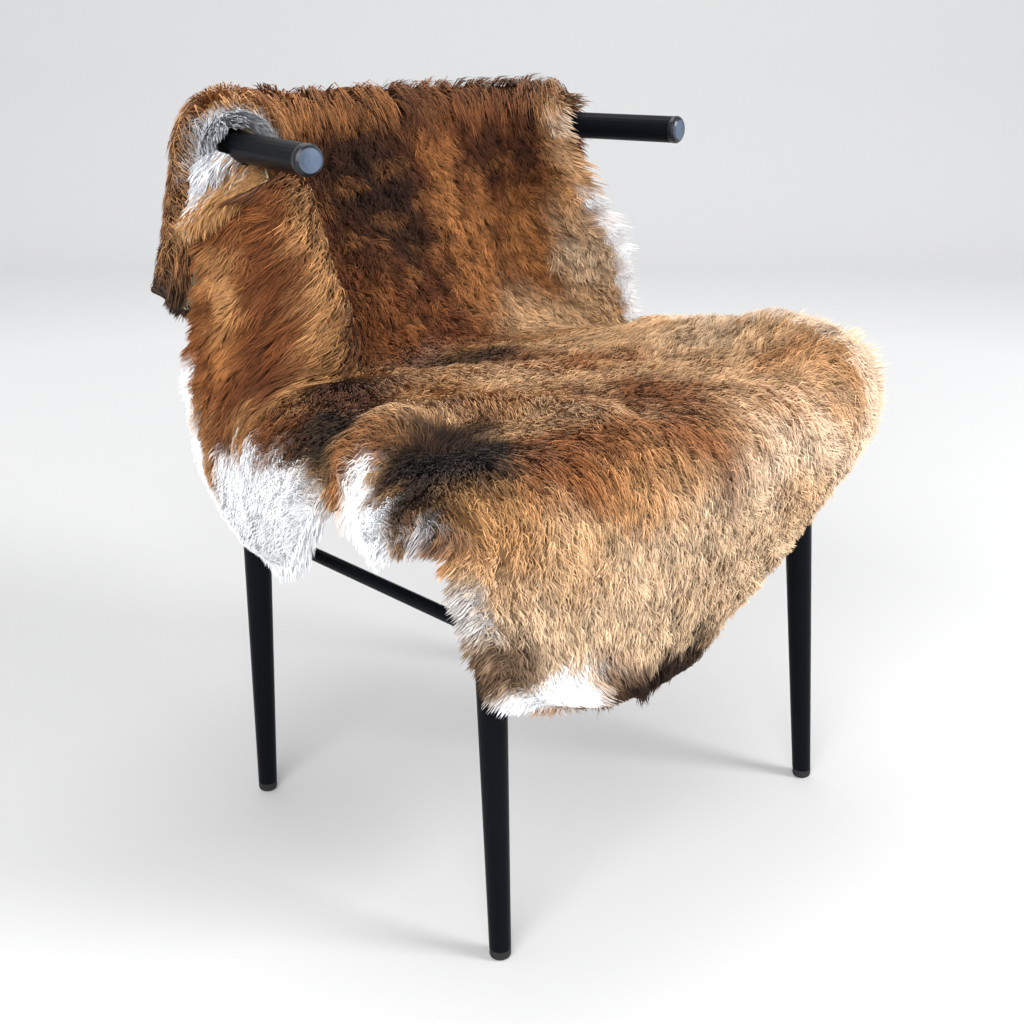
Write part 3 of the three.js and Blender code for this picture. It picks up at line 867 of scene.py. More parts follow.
# Patches on the skin: name, along, across, half length, half width, tint, strength, softness.
PATCHES = (
    ("flap ground", 110, 0, 145, 340, Tint.CHESTNUT, 1.0, 0.2),
    ("flap gold", 150, 190, 60, 70, Tint.GOLD, 0.7, 0.7),
    ("flap rust", 90, -110, 60, 60, Tint.GOLD, 0.6, 0.8),
    ("flap middle dark", 120, 30, 60, 60, Tint.UMBER, 0.7, 0.8),
    ("flap left", 150, -235, 95, 45, Tint.HONEY, 0.75, 0.6),
    ("flap left tip", 36, -240, 40, 60, Tint.SOOT, 0.85, 0.5),
    ("flap tip", 20, -20, 36, 110, Tint.UMBER, 0.7, 0.6),
    ("back ground", 400, 60, 170, 430, Tint.BROWN, 1.0, 0.25),
    ("crown", 246, -70, 24, 190, Tint.GOLD, 0.8, 0.6),
    ("crown, left end", 232, -240, 34, 50, Tint.HONEY, 0.8, 0.6),
    ("crown, middle dark", 256, 62, 28, 40, Tint.UMBER, 0.85, 0.6),
    ("crown, right", 256, 200, 28, 100, Tint.BROWN, 0.85, 0.7),
    ("crown, far end", 252, 314, 24, 16, Tint.TAN, 0.6, 0.7),
    ("back dark, left", 326, -30, 76, 76, Tint.SOOT, 0.9, 0.7),
    ("back rust, left of streak", 290, 84, 20, 34, Tint.RUST, 0.7, 0.8),
    ("back dark, right top", 300, 190, 34, 56, Tint.UMBER, 0.95, 0.6),
    ("back dark, shoulder", 296, 266, 22, 40, Tint.UMBER, 0.8, 0.6),
    ("back dark, centre", 385, 6, 66, 44, Tint.SOOT, 0.75, 0.7),
    ("back gold streak", 370, 92, 78, 24, Tint.GOLD, 0.85, 0.9),
    ("back gold, middle", 412, 152, 62, 38, Tint.GOLD, 0.85, 0.8),
    ("back rust, right", 404, 272, 60, 50, Tint.GOLD, 0.9, 0.8),
    ("back tan, right margin", 420, 356, 80, 42, Tint.SAND, 1.0, 0.7),
    ("shoulder tan", 320, 336, 50, 24, Tint.HONEY, 0.8, 0.7),
    ("back honey, low right", 512, 232, 44, 106, Tint.TAN, 0.95, 0.6),
    ("back tan, low right corner", 506, 345, 56, 56, Tint.TAN, 1.0, 0.5),
    ("back gold, low middle", 480, 110, 40, 40, Tint.GOLD, 0.7, 0.8),
    ("back chestnut, low left", 505, -46, 60, 56, Tint.CHESTNUT, 0.9, 0.7),
    ("back foot, mauve", 566, -28, 24, 40, Tint.MAUVE, 0.7, 0.8),
    ("back foot, dark", 602, 26, 26, 58, Tint.UMBER, 0.8, 0.7),
    ("seat ground", 760, 120, 170, 440, Tint.TAN, 1.0, 0.2),
    ("seat, back edge", 640, 80, 26, 70, Tint.RUST, 0.8, 0.8),
    ("seat, back edge dark", 602, 26, 26, 56, Tint.UMBER, 0.85, 0.7),
    # Partly the wool's own brown and partly painted shade from the crease there.
    ("seat, behind left", 655, -182, 62, 52, Tint.BROWN, 0.95, 0.6),
    ("seat, fold light", 692, -104, 40, 48, Tint.HONEY, 0.9, 0.7),
    ("seat, mauve cloud", 712, 110, 40, 60, Tint.GOLD, 0.85, 0.8),
    ("seat, far middle", 650, 190, 50, 70, Tint.TAN, 0.7, 0.7),
    ("seat, ring crest", 792, -84, 30, 84, Tint.HONEY, 0.95, 0.6),
    ("seat, rust band", 856, 52, 58, 54, Tint.RUST, 0.95, 0.7),
    ("seat, far right", 775, 262, 60, 52, Tint.SAND, 0.8, 0.7),
    ("seat, right dark cloud", 894, 236, 28, 36, Tint.GOLD, 0.7, 0.7),
    ("front ground", 1040, 0, 90, 400, Tint.SAND, 1.0, 0.2),
    ("front cream, right", 978, 150, 44, 84, Tint.CREAM, 0.6, 0.7),
    ("front tan, right", 1014, 138, 26, 40, Tint.TAN, 0.7, 0.8),
    ("front mauve streak", 975, 18, 34, 30, Tint.MAUVE, 0.55, 0.8),
    ("knee brown, inner", 926, -140, 50, 70, Tint.RUST, 0.95, 0.6),
    ("knee brown, right", 936, -16, 30, 62, Tint.RUST, 0.9, 0.7),
    ("front gold, upper", 966, -110, 24, 90, Tint.HONEY, 0.7, 0.8),
    # Painted shadow: the dark band lies in the crease behind the knee ridge.
    ("behind the knee, dark", 715, -246, 66, 34, Tint.SOOT, 0.95, 0.4),
    ("knee ring, gold", 800, -262, 22, 40, Tint.GOLD, 0.9, 0.6),
    ("knee dark", 868, -236, 64, 56, Tint.SOOT, 1.0, 0.4),
    ("knee dark, lower", 918, -276, 36, 40, Tint.SOOT, 0.95, 0.4),
    ("ring, inner brown", 812, -164, 22, 44, Tint.BROWN, 0.7, 0.6),
    ("knee dark, upper right", 830, -186, 26, 34, Tint.SOOT, 0.85, 0.5),
    ("knee brown, low", 950, -190, 24, 44, Tint.RUST, 0.9, 0.6),
    ("drape, left shoulder", 972, -262, 34, 34, Tint.HONEY, 0.8, 0.8),
    ("front tan, left", 992, -200, 34, 50, Tint.TAN, 0.85, 0.7),
    ("drape, low left", 1076, -286, 34, 28, Tint.UMBER, 0.8, 0.6),
    ("drape, low middle", 1112, -150, 24, 30, Tint.MAUVE, 0.6, 0.8),
    ("drape hem, dark", 1138, -98, 34, 92, Tint.SOOT, 1.0, 0.4),
    ("hem tuft", 1114, -226, 26, 50, Tint.WHITE, 1.0, 0.3),
    ("panel ground", 430, -330, 150, 80, Tint.CHESTNUT, 1.0, 0.3),
    ("panel ridge, upper", 380, -262, 62, 26, Tint.HONEY, 0.95, 0.6),
    ("panel ridge, lower", 478, -248, 62, 22, Tint.HONEY, 0.95, 0.6),
    ("panel outer light", 412, -356, 40, 22, Tint.HONEY, 0.9, 0.6),
    ("panel inner rust", 430, -308, 60, 18, Tint.BROWN, 0.7, 0.6),
    ("panel low gold", 470, -352, 30, 22, Tint.GOLD, 0.8, 0.7),
    ("panel low brown", 545, -298, 52, 52, Tint.BROWN, 0.95, 0.5),
    ("panel foot tan", 578, -318, 28, 26, Tint.HONEY, 0.7, 0.7),
    ("seat corner brown", 646, -262, 46, 26, Tint.CHESTNUT, 0.9, 0.6),
    ("left tuft", 680, -352, 116, 76, Tint.WHITE, 1.0, 0.1),
)

# Colours along the skin's margins: name, side, from, to, width, tint, strength.
RIMS = (
    ("near rod start", "left_gap", 165, 285, 12, Tint.GREY, 0.95),
    ("under the near rod", "left_gap", 285, 345, 9, Tint.RUST, 0.9),
    ("panel margin", "left_gap", 455, 540, 6, Tint.WHITE, 0.9),
    ("panel margin, low", "left_gap", 520, 640, 15, Tint.WHITE, 1.0),
    ("knee margin", "left_gap", 800, 905, 29, Tint.WHITE, 1.0),
    ("knee margin, low", "left_gap", 900, 950, 10, Tint.GREY, 0.8),
    ("knee margin, foot", "left_gap", 940, 980, 12, Tint.MAUVE, 0.8),
    ("drape margin, left", "left_gap", 985, 1055, 9, Tint.GREY, 0.7),
    ("far rod start", "right_gap", 238, 292, 7, Tint.CREAM, 0.9),
    ("shoulder margin", "right_gap", 275, 345, 12, Tint.TAN, 0.7),
    ("right back margin", "right_gap", 328, 600, 9, Tint.WHITE, 1.0),
    ("right seat margin", "right_gap", 640, 1010, 30, Tint.CREAM, 0.8),
    ("right corner fleck", "right_gap", 893, 925, 24, Tint.MAUVE, 0.8),
)

# How the wool is combed: name, along, across, radius, lengthwise part, crosswise part.
COMBS = (
    ("panel, upper", 360, -320, 95, 0.75, -0.7),
    ("panel, lower", 500, -335, 90, 0.75, -0.75),
    ("seat corner", 660, -255, 70, 0.25, -1.0),
    ("left tuft", 700, -350, 90, 0.1, -1.0),
    ("behind the knee", 790, -250, 45, -0.3, -0.9),
    ("knee edge", 880, -300, 50, 0.4, -1.0),
    ("seat middle", 700, 20, 130, 0.75, 0.55),
    ("seat right", 720, 250, 110, 0.45, 0.9),
    ("front right", 880, 260, 90, 0.6, 0.9),
    ("back right rim", 430, 340, 90, 0.55, 0.8),
    ("back middle", 400, 60, 110, 0.9, 0.3),
    ("drape", 1020, -150, 110, 1.0, -0.12),
    ("drape right", 1030, 70, 90, 1.0, 0.45),
)

# Places that the wool spreads away from: name, along, across, radius.
WHORLS = (
    ("knee", 852, -228, 78),
)

# Longer and shorter wool: name, along, across, radius, share added to its length.
LONG_WOOL = (
    ("left tuft", 690, -350, 90, -0.2),
    ("hem tuft", 1112, -230, 45, 0.4),
    ("flap tip", 20, -150, 90, 0.5),
    ("flap left edge", 60, -285, 55, 0.7),
    ("panel", 420, -315, 90, 0.55),
    ("panel margin", 400, -392, 62, -0.5),
    ("rod start", 215, -270, 40, 0.1),
    ("under the rod", 318, -300, 34, -0.1),
    ("knee margin", 880, -325, 50, -0.5),
    ("drape left", 1010, -300, 60, -0.3),
    ("right back margin", 460, 388, 80, -0.55),
    ("panel low margin", 510, -405, 50, -0.5),
    ("panel foot margin", 590, -400, 50, -0.5),
)

# Loftier wool: name, along, across, half length, half width, added millimetres.
LOFT = (
    ("crown", 246, 0, 20, 700, 5.0),
    ("crown, left end", 215, -240, 40, 60, 5.0),
    ("crown, right end", 262, 290, 30, 40, 5.0),
)

# Blotches in the wool of the back: name, tint, strength, wavelength, random field.
BLOTCHES = (
    ("dark", Tint.SOOT, 0.5, 38, 14),
    ("light", Tint.GOLD, 0.35, 44, 15),
)


def mixed(colour: np.ndarray, tint: Tint, share: np.ndarray) -> np.ndarray:
    """Mixes a tint into colours.

    Args:
        colour: A linear colour for each place.
        tint: The tint that is laid over them.
        share: How much of the tint each place gets.

    Returns:
        The mixed colours.
    """
    part = share[:, None]
    return colour * (1 - part) + np.array(tint.value) * part


def paleness(colour: np.ndarray, start: float = 0.4) -> np.ndarray:
    """Returns how far each colour is on the way to white, from 0 to 1."""
    return smooth_step((colour.mean(1) - start) / 0.3)


@dataclass
class Fleece:
    """Where the wool has which colour, and which way it lies.

    The wander and the flutter move the patches' outlines. The sway and the curl turn the wool, in degrees.
    Waves, places and reaches are in millimetres.
    """

    ground: Tint = Tint.HONEY
    wander: float = 9.0
    wander_wave: float = 70.0
    flutter: float = 5.0
    flutter_wave: float = 19.0
    rim_ease: float = 24.0
    rim_wave: float = 30.0
    back_place: tuple[float, float] = (400.0, 60.0)
    back_reach: tuple[float, float] = (150.0, 330.0)
    crown: float = 235.0
    crown_ease: float = 14.0
    spread: float = 0.8
    spread_width: float = 300.0
    comb_weight: float = 2.5
    whorl_core: float = 12.0
    sway: float = 20.0
    sway_wave: float = 90.0
    curl: float = 16.0
    curl_wave: float = 33.0
    back_curl: float = 0.9
    shortest: float = 0.35

    def tint(self, read: dict[str, np.ndarray]) -> np.ndarray:
        """Colour of the wool at places on the skin.

        Args:
            read: The skin's named fields at those places.

        Returns:
            Linear colours.
        """
        along, across = read["along"], read["across"]
        wander = [self.wander * ripple(along, across, self.wander_wave, seed) for seed in (5, 6)]
        flutter = self.flutter * ripple(along, across, self.flutter_wave, 7)
        s, v = along + wander[0] + flutter, across + wander[1] - flutter
        colour = np.tile(np.array(self.ground.value), (len(along), 1))
        for _, at, off, half_long, half_wide, tint, strength, soft in PATCHES:
            away = np.hypot((s - at) / half_long, (v - off) / half_wide)
            colour = mixed(colour, tint, strength * smooth_step((1 + soft - away) / (2 * soft + 1e-6)))
        wavy = 1.15 + 0.3 * ripple(along, across, self.rim_wave, 13)
        for _, side, start, end, width, tint, strength in RIMS:
            inside = smooth_step((along - start) / self.rim_ease) * smooth_step((end - along) / self.rim_ease)
            near = smooth_step((width * wavy - read[side]) / 10 + 0.5)
            colour = mixed(colour, tint, strength * inside * near)
        back = self._back(along) * np.exp(-(((across - self.back_place[1]) / self.back_reach[1]) ** 4))
        for _, tint, strength, wave, seed in BLOTCHES:
            blotch = smooth_step(1.6 * ripple(along, across, wave, seed) - 0.3)
            colour = mixed(colour, tint, strength * back * blotch)
        mottle = 0.15 * ripple(along, across, 46, 9) + 0.13 * ripple(along, across, 17, 10)
        return colour * (1 + (1 - paleness(colour, 0.45)) * mottle)[:, None]

    def _back(self, along: np.ndarray) -> np.ndarray:
        """How near places are to the middle of the back, lengthwise."""
        return np.exp(-(((along - self.back_place[0]) / self.back_reach[0]) ** 2))

    def lie(self, along: np.ndarray, across: np.ndarray) -> np.ndarray:
        """Which way the wool lies, as unit parts lengthwise and crosswise.

        Args:
            along: Distance along the middle line.
            across: Distance across it.

        Returns:
            Two parts for each place.
        """
        way = np.tanh((along - self.crown) / self.crown_ease)
        flow = np.stack([way, self.spread * across / self.spread_width], -1)
        total = np.ones(len(along))
        for _, at, off, radius, lengthwise, crosswise in COMBS:
            share = self.comb_weight * spot(along, across, at, off, radius)
            flow += share[:, None] * unit(np.array([lengthwise, crosswise]))
            total += share
        flow /= total[:, None]
        for _, at, off, radius in WHORLS:
            away = np.stack([along - at, across - off], -1)
            share = spot(along, across, at, off, radius)[:, None]
            distance = np.linalg.norm(away, axis=1, keepdims=True) + self.whorl_core
            flow = flow * (1 - share) + share * away / distance
        curly = (1 + self.back_curl * self._back(along)) * self.curl
        sway = self.sway * ripple(along, across, self.sway_wave, 11)
        turn = sway + curly * ripple(along, across, self.curl_wave, 12)
        return turned(unit(flow), np.radians(turn))

    @staticmethod
    def loft(along: np.ndarray, across: np.ndarray) -> np.ndarray:
        """How much higher than usual the wool stands.

        Args:
            along: Distance along the middle line.
            across: Distance across it.

        Returns:
            Added height at each place.
        """
        more = np.zeros(len(along))
        for _, at, off, half_long, half_wide, added in LOFT:
            more += added * np.exp(-(((along - at) / half_long) ** 2) - ((across - off) / half_wide) ** 2)
        return more

    def length_share(self, along: np.ndarray, across: np.ndarray) -> np.ndarray:
        """How long the wool is, as a share of the usual length.

        Args:
            along: Distance along the middle line.
            across: Distance across it.

        Returns:
            The share at each place.
        """
        share = np.ones(len(along))
        for _, at, off, radius, more in LONG_WOOL:
            share += more * spot(along, across, at, off, radius)
        return np.maximum(share, self.shortest)


# Meshes


def make_mesh(name: str, places: np.ndarray, quads: np.ndarray,
              triangles: np.ndarray | None = None) -> bpy.types.Object:
    """Makes a mesh object quickly from arrays.

    Args:
        name: The piece's name.
        places: Vertex places in metres.
        quads: Faces of four corners.
        triangles: Faces of three corners, or None.

    Returns:
        The object, linked to the scene.
    """
    mesh = bpy.data.meshes.new(name)
    triangles = np.zeros((0, 3), int) if triangles is None else triangles
    corners = np.concatenate([quads.ravel(), triangles.ravel()])
    starts = np.concatenate([4 * np.arange(len(quads)), 4 * len(quads) + 3 * np.arange(len(triangles))])
    mesh.vertices.add(len(places))
    mesh.vertices.foreach_set("co", places.astype(np.float32).ravel())
    mesh.loops.add(len(corners))
    mesh.loops.foreach_set("vertex_index", corners.astype(np.int32))
    mesh.polygons.add(len(starts))
    mesh.polygons.foreach_set("loop_start", starts.astype(np.int32))
    mesh.update(calc_edges=True)
    mesh.validate()
    mesh.polygons.foreach_set("use_smooth", np.ones(len(mesh.polygons), bool))
    piece = bpy.data.objects.new(name, mesh)
    bpy.context.scene.collection.objects.link(piece)
    return piece


def set_tint(piece: bpy.types.Object, colours: np.ndarray, reach: np.ndarray) -> None:
    """Stores each vertex's colour and how near it is to its lock's tip.

    Args:
        piece: The mesh object.
        colours: A linear colour for each vertex.
        reach: From 0 at the root to 1 at the tip, for each vertex.
    """
    stored = piece.data.attributes
    rgba = np.concatenate([np.clip(colours, 0, 1), np.ones((len(colours), 1))], 1)
    stored.new(TINT_NAME, "FLOAT_COLOR", "POINT").data.foreach_set("color", rgba.astype(np.float32).ravel())
    stored.new(REACH_NAME, "FLOAT", "POINT").data.foreach_set("value", reach.astype(np.float32))


def closed_grid(top: np.ndarray, under: np.ndarray) -> tuple[np.ndarray, np.ndarray]:
    """Joins two grids into one closed shell.

    Args:
        top: Places of the upper side.
        under: Places of the lower side.

    Returns:
        Vertices and quads.
    """
    rows, columns = top.shape[:2]
    index = np.arange(rows * columns).reshape(rows, columns)
    a, b, c, d = index[:-1, :-1], index[1:, :-1], index[1:, 1:], index[:-1, 1:]
    upper = np.stack([a, b, c, d], -1).reshape(-1, 4)
    low = rows * columns
    lower = upper[:, ::-1] + low
    rim = np.concatenate([index[:, 0], index[-1, 1:], index[-2::-1, -1], index[0, -2:0:-1]])
    after = np.roll(rim, -1)
    wall = np.stack([rim, rim + low, after + low, after], -1)
    return np.concatenate([top.reshape(-1, 3), under.reshape(-1, 3)]), np.concatenate([upper, lower, wall])


# The skin's pieces

# What a cell of clumps is multiplied by, before and after the sine that scatters its random numbers.
CELL_KEYS, CELL_SCALE = (127.1, 311.7), 43758.5453
# Where along its length a lock has its levels.
SHORT_LEVELS = (0.0, 0.55, 1.0)
LONG_LEVELS = (0.0, 0.4, 0.75, 1.0)

Range = tuple[float, float]


@dataclass(frozen=True)
class LockPatch:
    """One piece of the fleece: how many locks grow where, and their sizes in millimetres."""

    name: str
    count: int
    start: float
    end: float
    seed: int
    length: float
    width: float
    clump: float = 10.0
    lean: float = 0.55
    levels: tuple[float, ...] = SHORT_LEVELS
    rim: bool = False
    contrast: float = 1.0


@dataclass(frozen=True)
class WoolHabit:
    """How the locks differ from each other, in millimetres, degrees and shares.

    Attributes:
        stray: How far a lock turns away from the combed way.
        length: Shortest and longest lock, as shares of the patch's length.
        root: Where in the wool's depth a lock starts.
        tip: How far its tip ends below or above the wool's depth.
        rim_root: The same as root, for locks along the rim.
        rim_tip: Where in the wool's depth the rim's locks end.
        rim_reach: How far in from the rim its locks grow.
        rim_turn: How much of the combed way the rim's locks keep.
        rim_held: How near to the rim the wool is held down.
        rim_least: The least depth that it is held to.
        rim_more: How far it may stand above its depth there.
        pale_lean: How much less the palest locks lean to their clump.
        tone: Spread of the locks' brightness.
        clump_tone: Spread of the clumps' brightness.
        dark_share: How many locks are much darker.
        dark: How much darker they are.
        light_share: How many locks are much lighter.
        light: How much lighter they are.
        twist: How far a lock's flat side turns.
        width: Narrowest and widest lock, as shares of the patch's width.
        taper: How much narrower a lock is near its tip.
        plush: How far a lock is lit as the skin's surface is.
        pale_plush: How much more that holds for the palest locks.
    """

    stray: float = 15.0
    length: Range = (0.7, 1.25)
    root: Range = (0.25, 0.6)
    tip: Range = (-4.0, 2.5)
    rim_root: Range = (0.0, 0.5)
    rim_tip: Range = (-0.15, 0.85)
    rim_reach: float = 9.0
    rim_turn: float = 0.5
    rim_held: float = 30.0
    rim_least: float = 6.0
    rim_more: float = 4.0
    pale_lean: float = 0.7
    tone: float = 0.12
    clump_tone: float = 0.3
    dark_share: float = 0.08
    dark: float = 0.4
    light_share: float = 0.1
    light: float = 0.3
    twist: float = 45.0
    width: Range = (0.7, 1.3)
    taper: float = 0.45
    plush: float = 1.1
    pale_plush: float = 2.0


@dataclass(frozen=True)
class RodWeb:
    """The soft wool under the near rod, from the flap's margin to the side panel's.

    Attributes:
        locks: How many locks it has, and their sizes.
        flap_margin: Where it runs along the flap's margin, by the skin's middle line.
        panel_margin: Where it runs along the panel's margin.
        column: How far in from the margin it starts, in columns of the grid.
        facing: The way that it faces.
        bulge: How far it bulges out between the margins.
        fall: The way that the locks fall at the flap, and the change towards the panel, for each axis.
        fall_spread: How far single locks fall another way.
        length: Shortest and longest lock, as shares of the usual length.
        lift: How far locks lift off, at least and at most.
        lift_turn: How the lift rises and comes back along a lock.
        white_share: How many of the pale locks are white.
        brown_tone: Darkest and brightest of the brown locks.
    """

    locks: LockPatch = LockPatch("locks_rod_start", 8000, 0, 0, 26, 26, 1.3, levels=LONG_LEVELS)
    flap_margin: Range = (206, 140)
    panel_margin: Range = (282, 332)
    column: float = 0.4
    facing: tuple[float, float, float] = (-0.9, -0.42, 0.0)
    bulge: float = 24.0
    fall: tuple[Range, ...] = ((-0.3, -0.25), (-0.15, 0.3), (-0.85, 0.0))
    fall_spread: float = 0.18
    length: Range = (0.5, 1.4)
    lift: Range = (4, 15)
    lift_turn: float = 2.2
    white_share: float = 0.35
    brown_tone: Range = (0.6, 1.2)


@dataclass
class Sheepskin:
    """The draped skin: leather, undercoat and locks.

    The flat size is in metres. Half the grid is in rows and columns, and the other sizes are in millimetres:
    the steps are what rows and columns are apart, on the skin and at its margins.
    """

    centre: np.ndarray
    surface: SkinSurface = field(default_factory=SkinSurface)
    fleece: Fleece = field(default_factory=Fleece)
    habit: WoolHabit = WoolHabit()
    web: RodWeb = RodWeb()
    leather_thickness: float = 1.6
    wool_gap: float = 0.2
    undercoat_share: float = 0.66
    undercoat_least: float = 1.5
    fuzz: float = 2.2
    fuzz_wave: float = 15.0
    flat_width: float = 0.76
    flat_length: float = 1.16
    flat_area: float = 0.69
    half_rows: float = 44.0
    half_columns: float = 16.0
    row_step: float = 13.0
    column_step: float = 15.0
    margin_step: float = 12.0
    margin_ease: float = 8.0
    droop: float = 0.12
    patches: tuple[LockPatch, ...] = (
        LockPatch("locks_rear_flap", 42000, 0, 240, 21, 25, 1.5, 12, 0.5),
        LockPatch("locks_back", 61000, 240, 560, 22, 17, 1.15, 9, 0.6),
        LockPatch("locks_seat", 61000, 560, 860, 23, 15, 1.15, 9, 0.5, contrast=0.8),
        LockPatch("locks_front", 62000, 860, 1160, 24, 16, 1.1, 9, 0.5, contrast=1.1),
        LockPatch("locks_rim", 36000, 0, 1160, 25, 24, 1.5, 11, 0.4, LONG_LEVELS, True),
    )

    def build(self) -> list[bpy.types.Object]:
        """Builds every piece of the skin, hides the imported skin and hangs the pieces on the root body.

        Returns:
            The pieces.
        """
        self.surface.build()
        self.reader = SkinReader(self.surface.fields())
        leather = self._leather()
        undercoat = self._undercoat()
        locks = [self._locks(patch) for patch in self.patches]
        locks.append(self._rod_web())
        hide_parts("sheepskin")
        for piece in (leather, undercoat, *locks):
            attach(piece, "root")
        return [leather, undercoat, *locks]

    def _metres(self, places: np.ndarray) -> np.ndarray:
        """Turns chair millimetres into the row frame's metres."""
        return places * MM + self.centre

    def _leather(self) -> bpy.types.Object:
        """Builds the thin tanned sheet under the wool.

        Returns:
            The leather's mesh object.
        """
        surface = self.surface
        top = surface.leather + surface.normals * self.leather_thickness
        vertices, quads = closed_grid(self._metres(top), self._metres(surface.leather))
        piece = make_mesh("skin_leather", vertices, quads)
        piece.data.materials.append(LeatherFinish().make())
        return piece

    def _undercoat(self) -> bpy.types.Object:
        """Builds the dense wool that fills the depth between the locks.

        Returns:
            The undercoat's mesh object.
        """
        fine = [np.linspace(0, count - 1, 2 * count - 1) for count in self.surface.depth.shape]
        r, c = np.meshgrid(*fine, indexing="ij")
        read = self.reader.read(r.ravel(), c.ravel())
        fuzz = self.fuzz * ripple(read["along"], read["across"], self.fuzz_wave, 31)
        fuzz *= smooth_step(read["edge"] / self.habit.rim_held)
        least = self.leather_thickness + self.undercoat_least
        depth = np.maximum(read["depth"] * self.undercoat_share + fuzz, least)
        top = (read["place"] + read["normal"] * depth[:, None]).reshape(*r.shape, 3)
        low = self.leather_thickness + self.wool_gap
        under = (read["place"] + read["normal"] * low).reshape(*r.shape, 3)
        vertices, quads = closed_grid(self._metres(top), self._metres(under))
        piece = make_mesh("wool_undercoat", vertices, quads)
        tints = self.fleece.tint(read)
        set_tint(piece, np.concatenate([tints, tints]), np.zeros(2 * len(tints)))
        piece.data.materials.append(UndercoatFinish().make())
        return piece

    def _roots(self, patch: LockPatch, rng: np.random.Generator) -> tuple[np.ndarray, np.ndarray]:
        """Where a patch's locks grow, in rows and columns.

        Args:
            patch: Which locks.
            rng: Where the places come from.

        Returns:
            Rows and columns, one for each lock.
        """
        surface = self.surface
        ways = [np.gradient(surface.leather, axis=k)[:-1, :-1] for k in (0, 1)]
        cell = np.linalg.norm(np.cross(*ways), axis=-1)
        along, edge = surface.along[:-1, :-1], surface.edge[:-1, :-1]
        weight = np.where((along >= patch.start) & (along < patch.end), cell, 0)
        if patch.rim:
            weight = weight * np.exp(-((edge / self.habit.rim_reach) ** 2))
        chosen = rng.choice(weight.size, patch.count, p=(weight / weight.sum()).ravel())
        row, column = np.unravel_index(chosen, weight.shape)
        return row + rng.random(patch.count), column + rng.random(patch.count)

    @staticmethod
    def _clump_tips(along: np.ndarray, across: np.ndarray,
                    size: float) -> tuple[np.ndarray, np.ndarray, np.ndarray]:
        """The clump that each lock leans to, whose random numbers come from a sine of its cell.

        Args:
            along: Places along the middle line.
            across: Places across it.
            size: How wide the clumps are.

        Returns:
            Offsets to the clump's middle along and across, and the clump's own random number.
        """
        cell_s, cell_v = np.floor(along / size), np.floor(across / size)
        best = np.full(len(along), 1e9)
        off_s, off_v, number = (np.zeros(len(along)) for _ in range(3))
        for a in (-1, 0, 1):
            for b in (-1, 0, 1):
                key = (cell_s + a) * CELL_KEYS[0] + (cell_v + b) * CELL_KEYS[1]
                rand = [np.modf(np.abs(np.sin(key + k) * CELL_SCALE))[0] for k in (0.0, 1.7, 3.1)]
                ds = (cell_s + a + rand[0]) * size - along
                dv = (cell_v + b + rand[1]) * size - across
                near = ds ** 2 + dv ** 2 < best
                best = np.where(near, ds ** 2 + dv ** 2, best)
                off_s, off_v = np.where(near, ds, off_s), np.where(near, dv, off_v)
                number = np.where(near, rand[2], number)
        return off_s, off_v, number

    def _locks(self, patch: LockPatch) -> bpy.types.Object:
        """Grows one patch of locks as tapering strips.

        Args:
            patch: Which locks.

        Returns:
            The locks' mesh object.
        """
        rng = np.random.default_rng(patch.seed)
        habit, count = self.habit, patch.count
        row, column = self._roots(patch, rng)
        root = self.reader.read(row, column)
        along, across = root["along"], root["across"]
        pull_s, pull_v, clump = self._clump_tips(along, across, patch.clump)
        flow = self.fleece.lie(along + pull_s, across + pull_v)
        flow = turned(flow, np.radians(rng.normal(0, habit.stray, count)))
        length = (patch.length * self.fleece.length_share(along, across)
                  * rng.uniform(*habit.length, count) * (0.85 + 0.3 * clump))
        base = rng.uniform(*habit.root, count)
        top = root["depth"] * (0.93 + 0.13 * clump) + rng.uniform(*habit.tip, count)
        top += self.fleece.loft(along, across)
        if patch.rim:
            flow = unit(flow * habit.rim_turn + self._outward(row, column))
            base = rng.uniform(*habit.rim_root, count)
            top = root["depth"] * rng.uniform(*habit.rim_tip, count)
        tints = self.fleece.tint(root)
        pale = paleness(tints)
        lean = patch.lean * (1 - habit.pale_lean * pale)
        step_s = np.linalg.norm(root["lengthwise"], axis=1)
        step_v = np.linalg.norm(root["crosswise"], axis=1)
        spines, normals = [], []
        for t in patch.levels:
            go = length * t
            ds, dv = flow[:, 0] * go + lean * pull_s * t, flow[:, 1] * go + lean * pull_v * t
            here_row, here_column = row + ds / step_s, column + dv / step_v
            here = self.reader.read(here_row, here_column)
            rise = 1 - (1 - t) ** 2
            depth = root["depth"] * base * (1 - rise) + top * rise * (1 - 0.1 * t * t)
            held = np.minimum(depth, np.maximum(here["depth"], habit.rim_least) + habit.rim_more)
            depth = np.where(here["edge"] < habit.rim_held, held, depth)
            place = here["place"] + here["normal"] * depth[:, None]
            place[:, 2] -= self.droop * self._past_rim(here_row, here_column) * t
            spines.append(place)
            normals.append(here["normal"])
        own = habit.clump_tone * (clump - 0.5) + rng.normal(0, habit.tone, count)
        odd = rng.random(count)
        own = own - habit.dark * (odd < habit.dark_share) + habit.light * (odd > 1 - habit.light_share)
        tints *= (pale + (1 - pale) * (1 + patch.contrast * own))[:, None]
        return self._strips(patch, spines, normals, tints, rng)

    def _past_rim(self, row: np.ndarray, column: np.ndarray) -> np.ndarray:
        """How far places lie past the skin's rim, in millimetres."""
        past = np.maximum(np.abs(row - self.half_rows) - self.half_rows, 0) * self.row_step
        return past + np.maximum(np.abs(column - self.half_columns) - self.half_columns, 0) * self.column_step

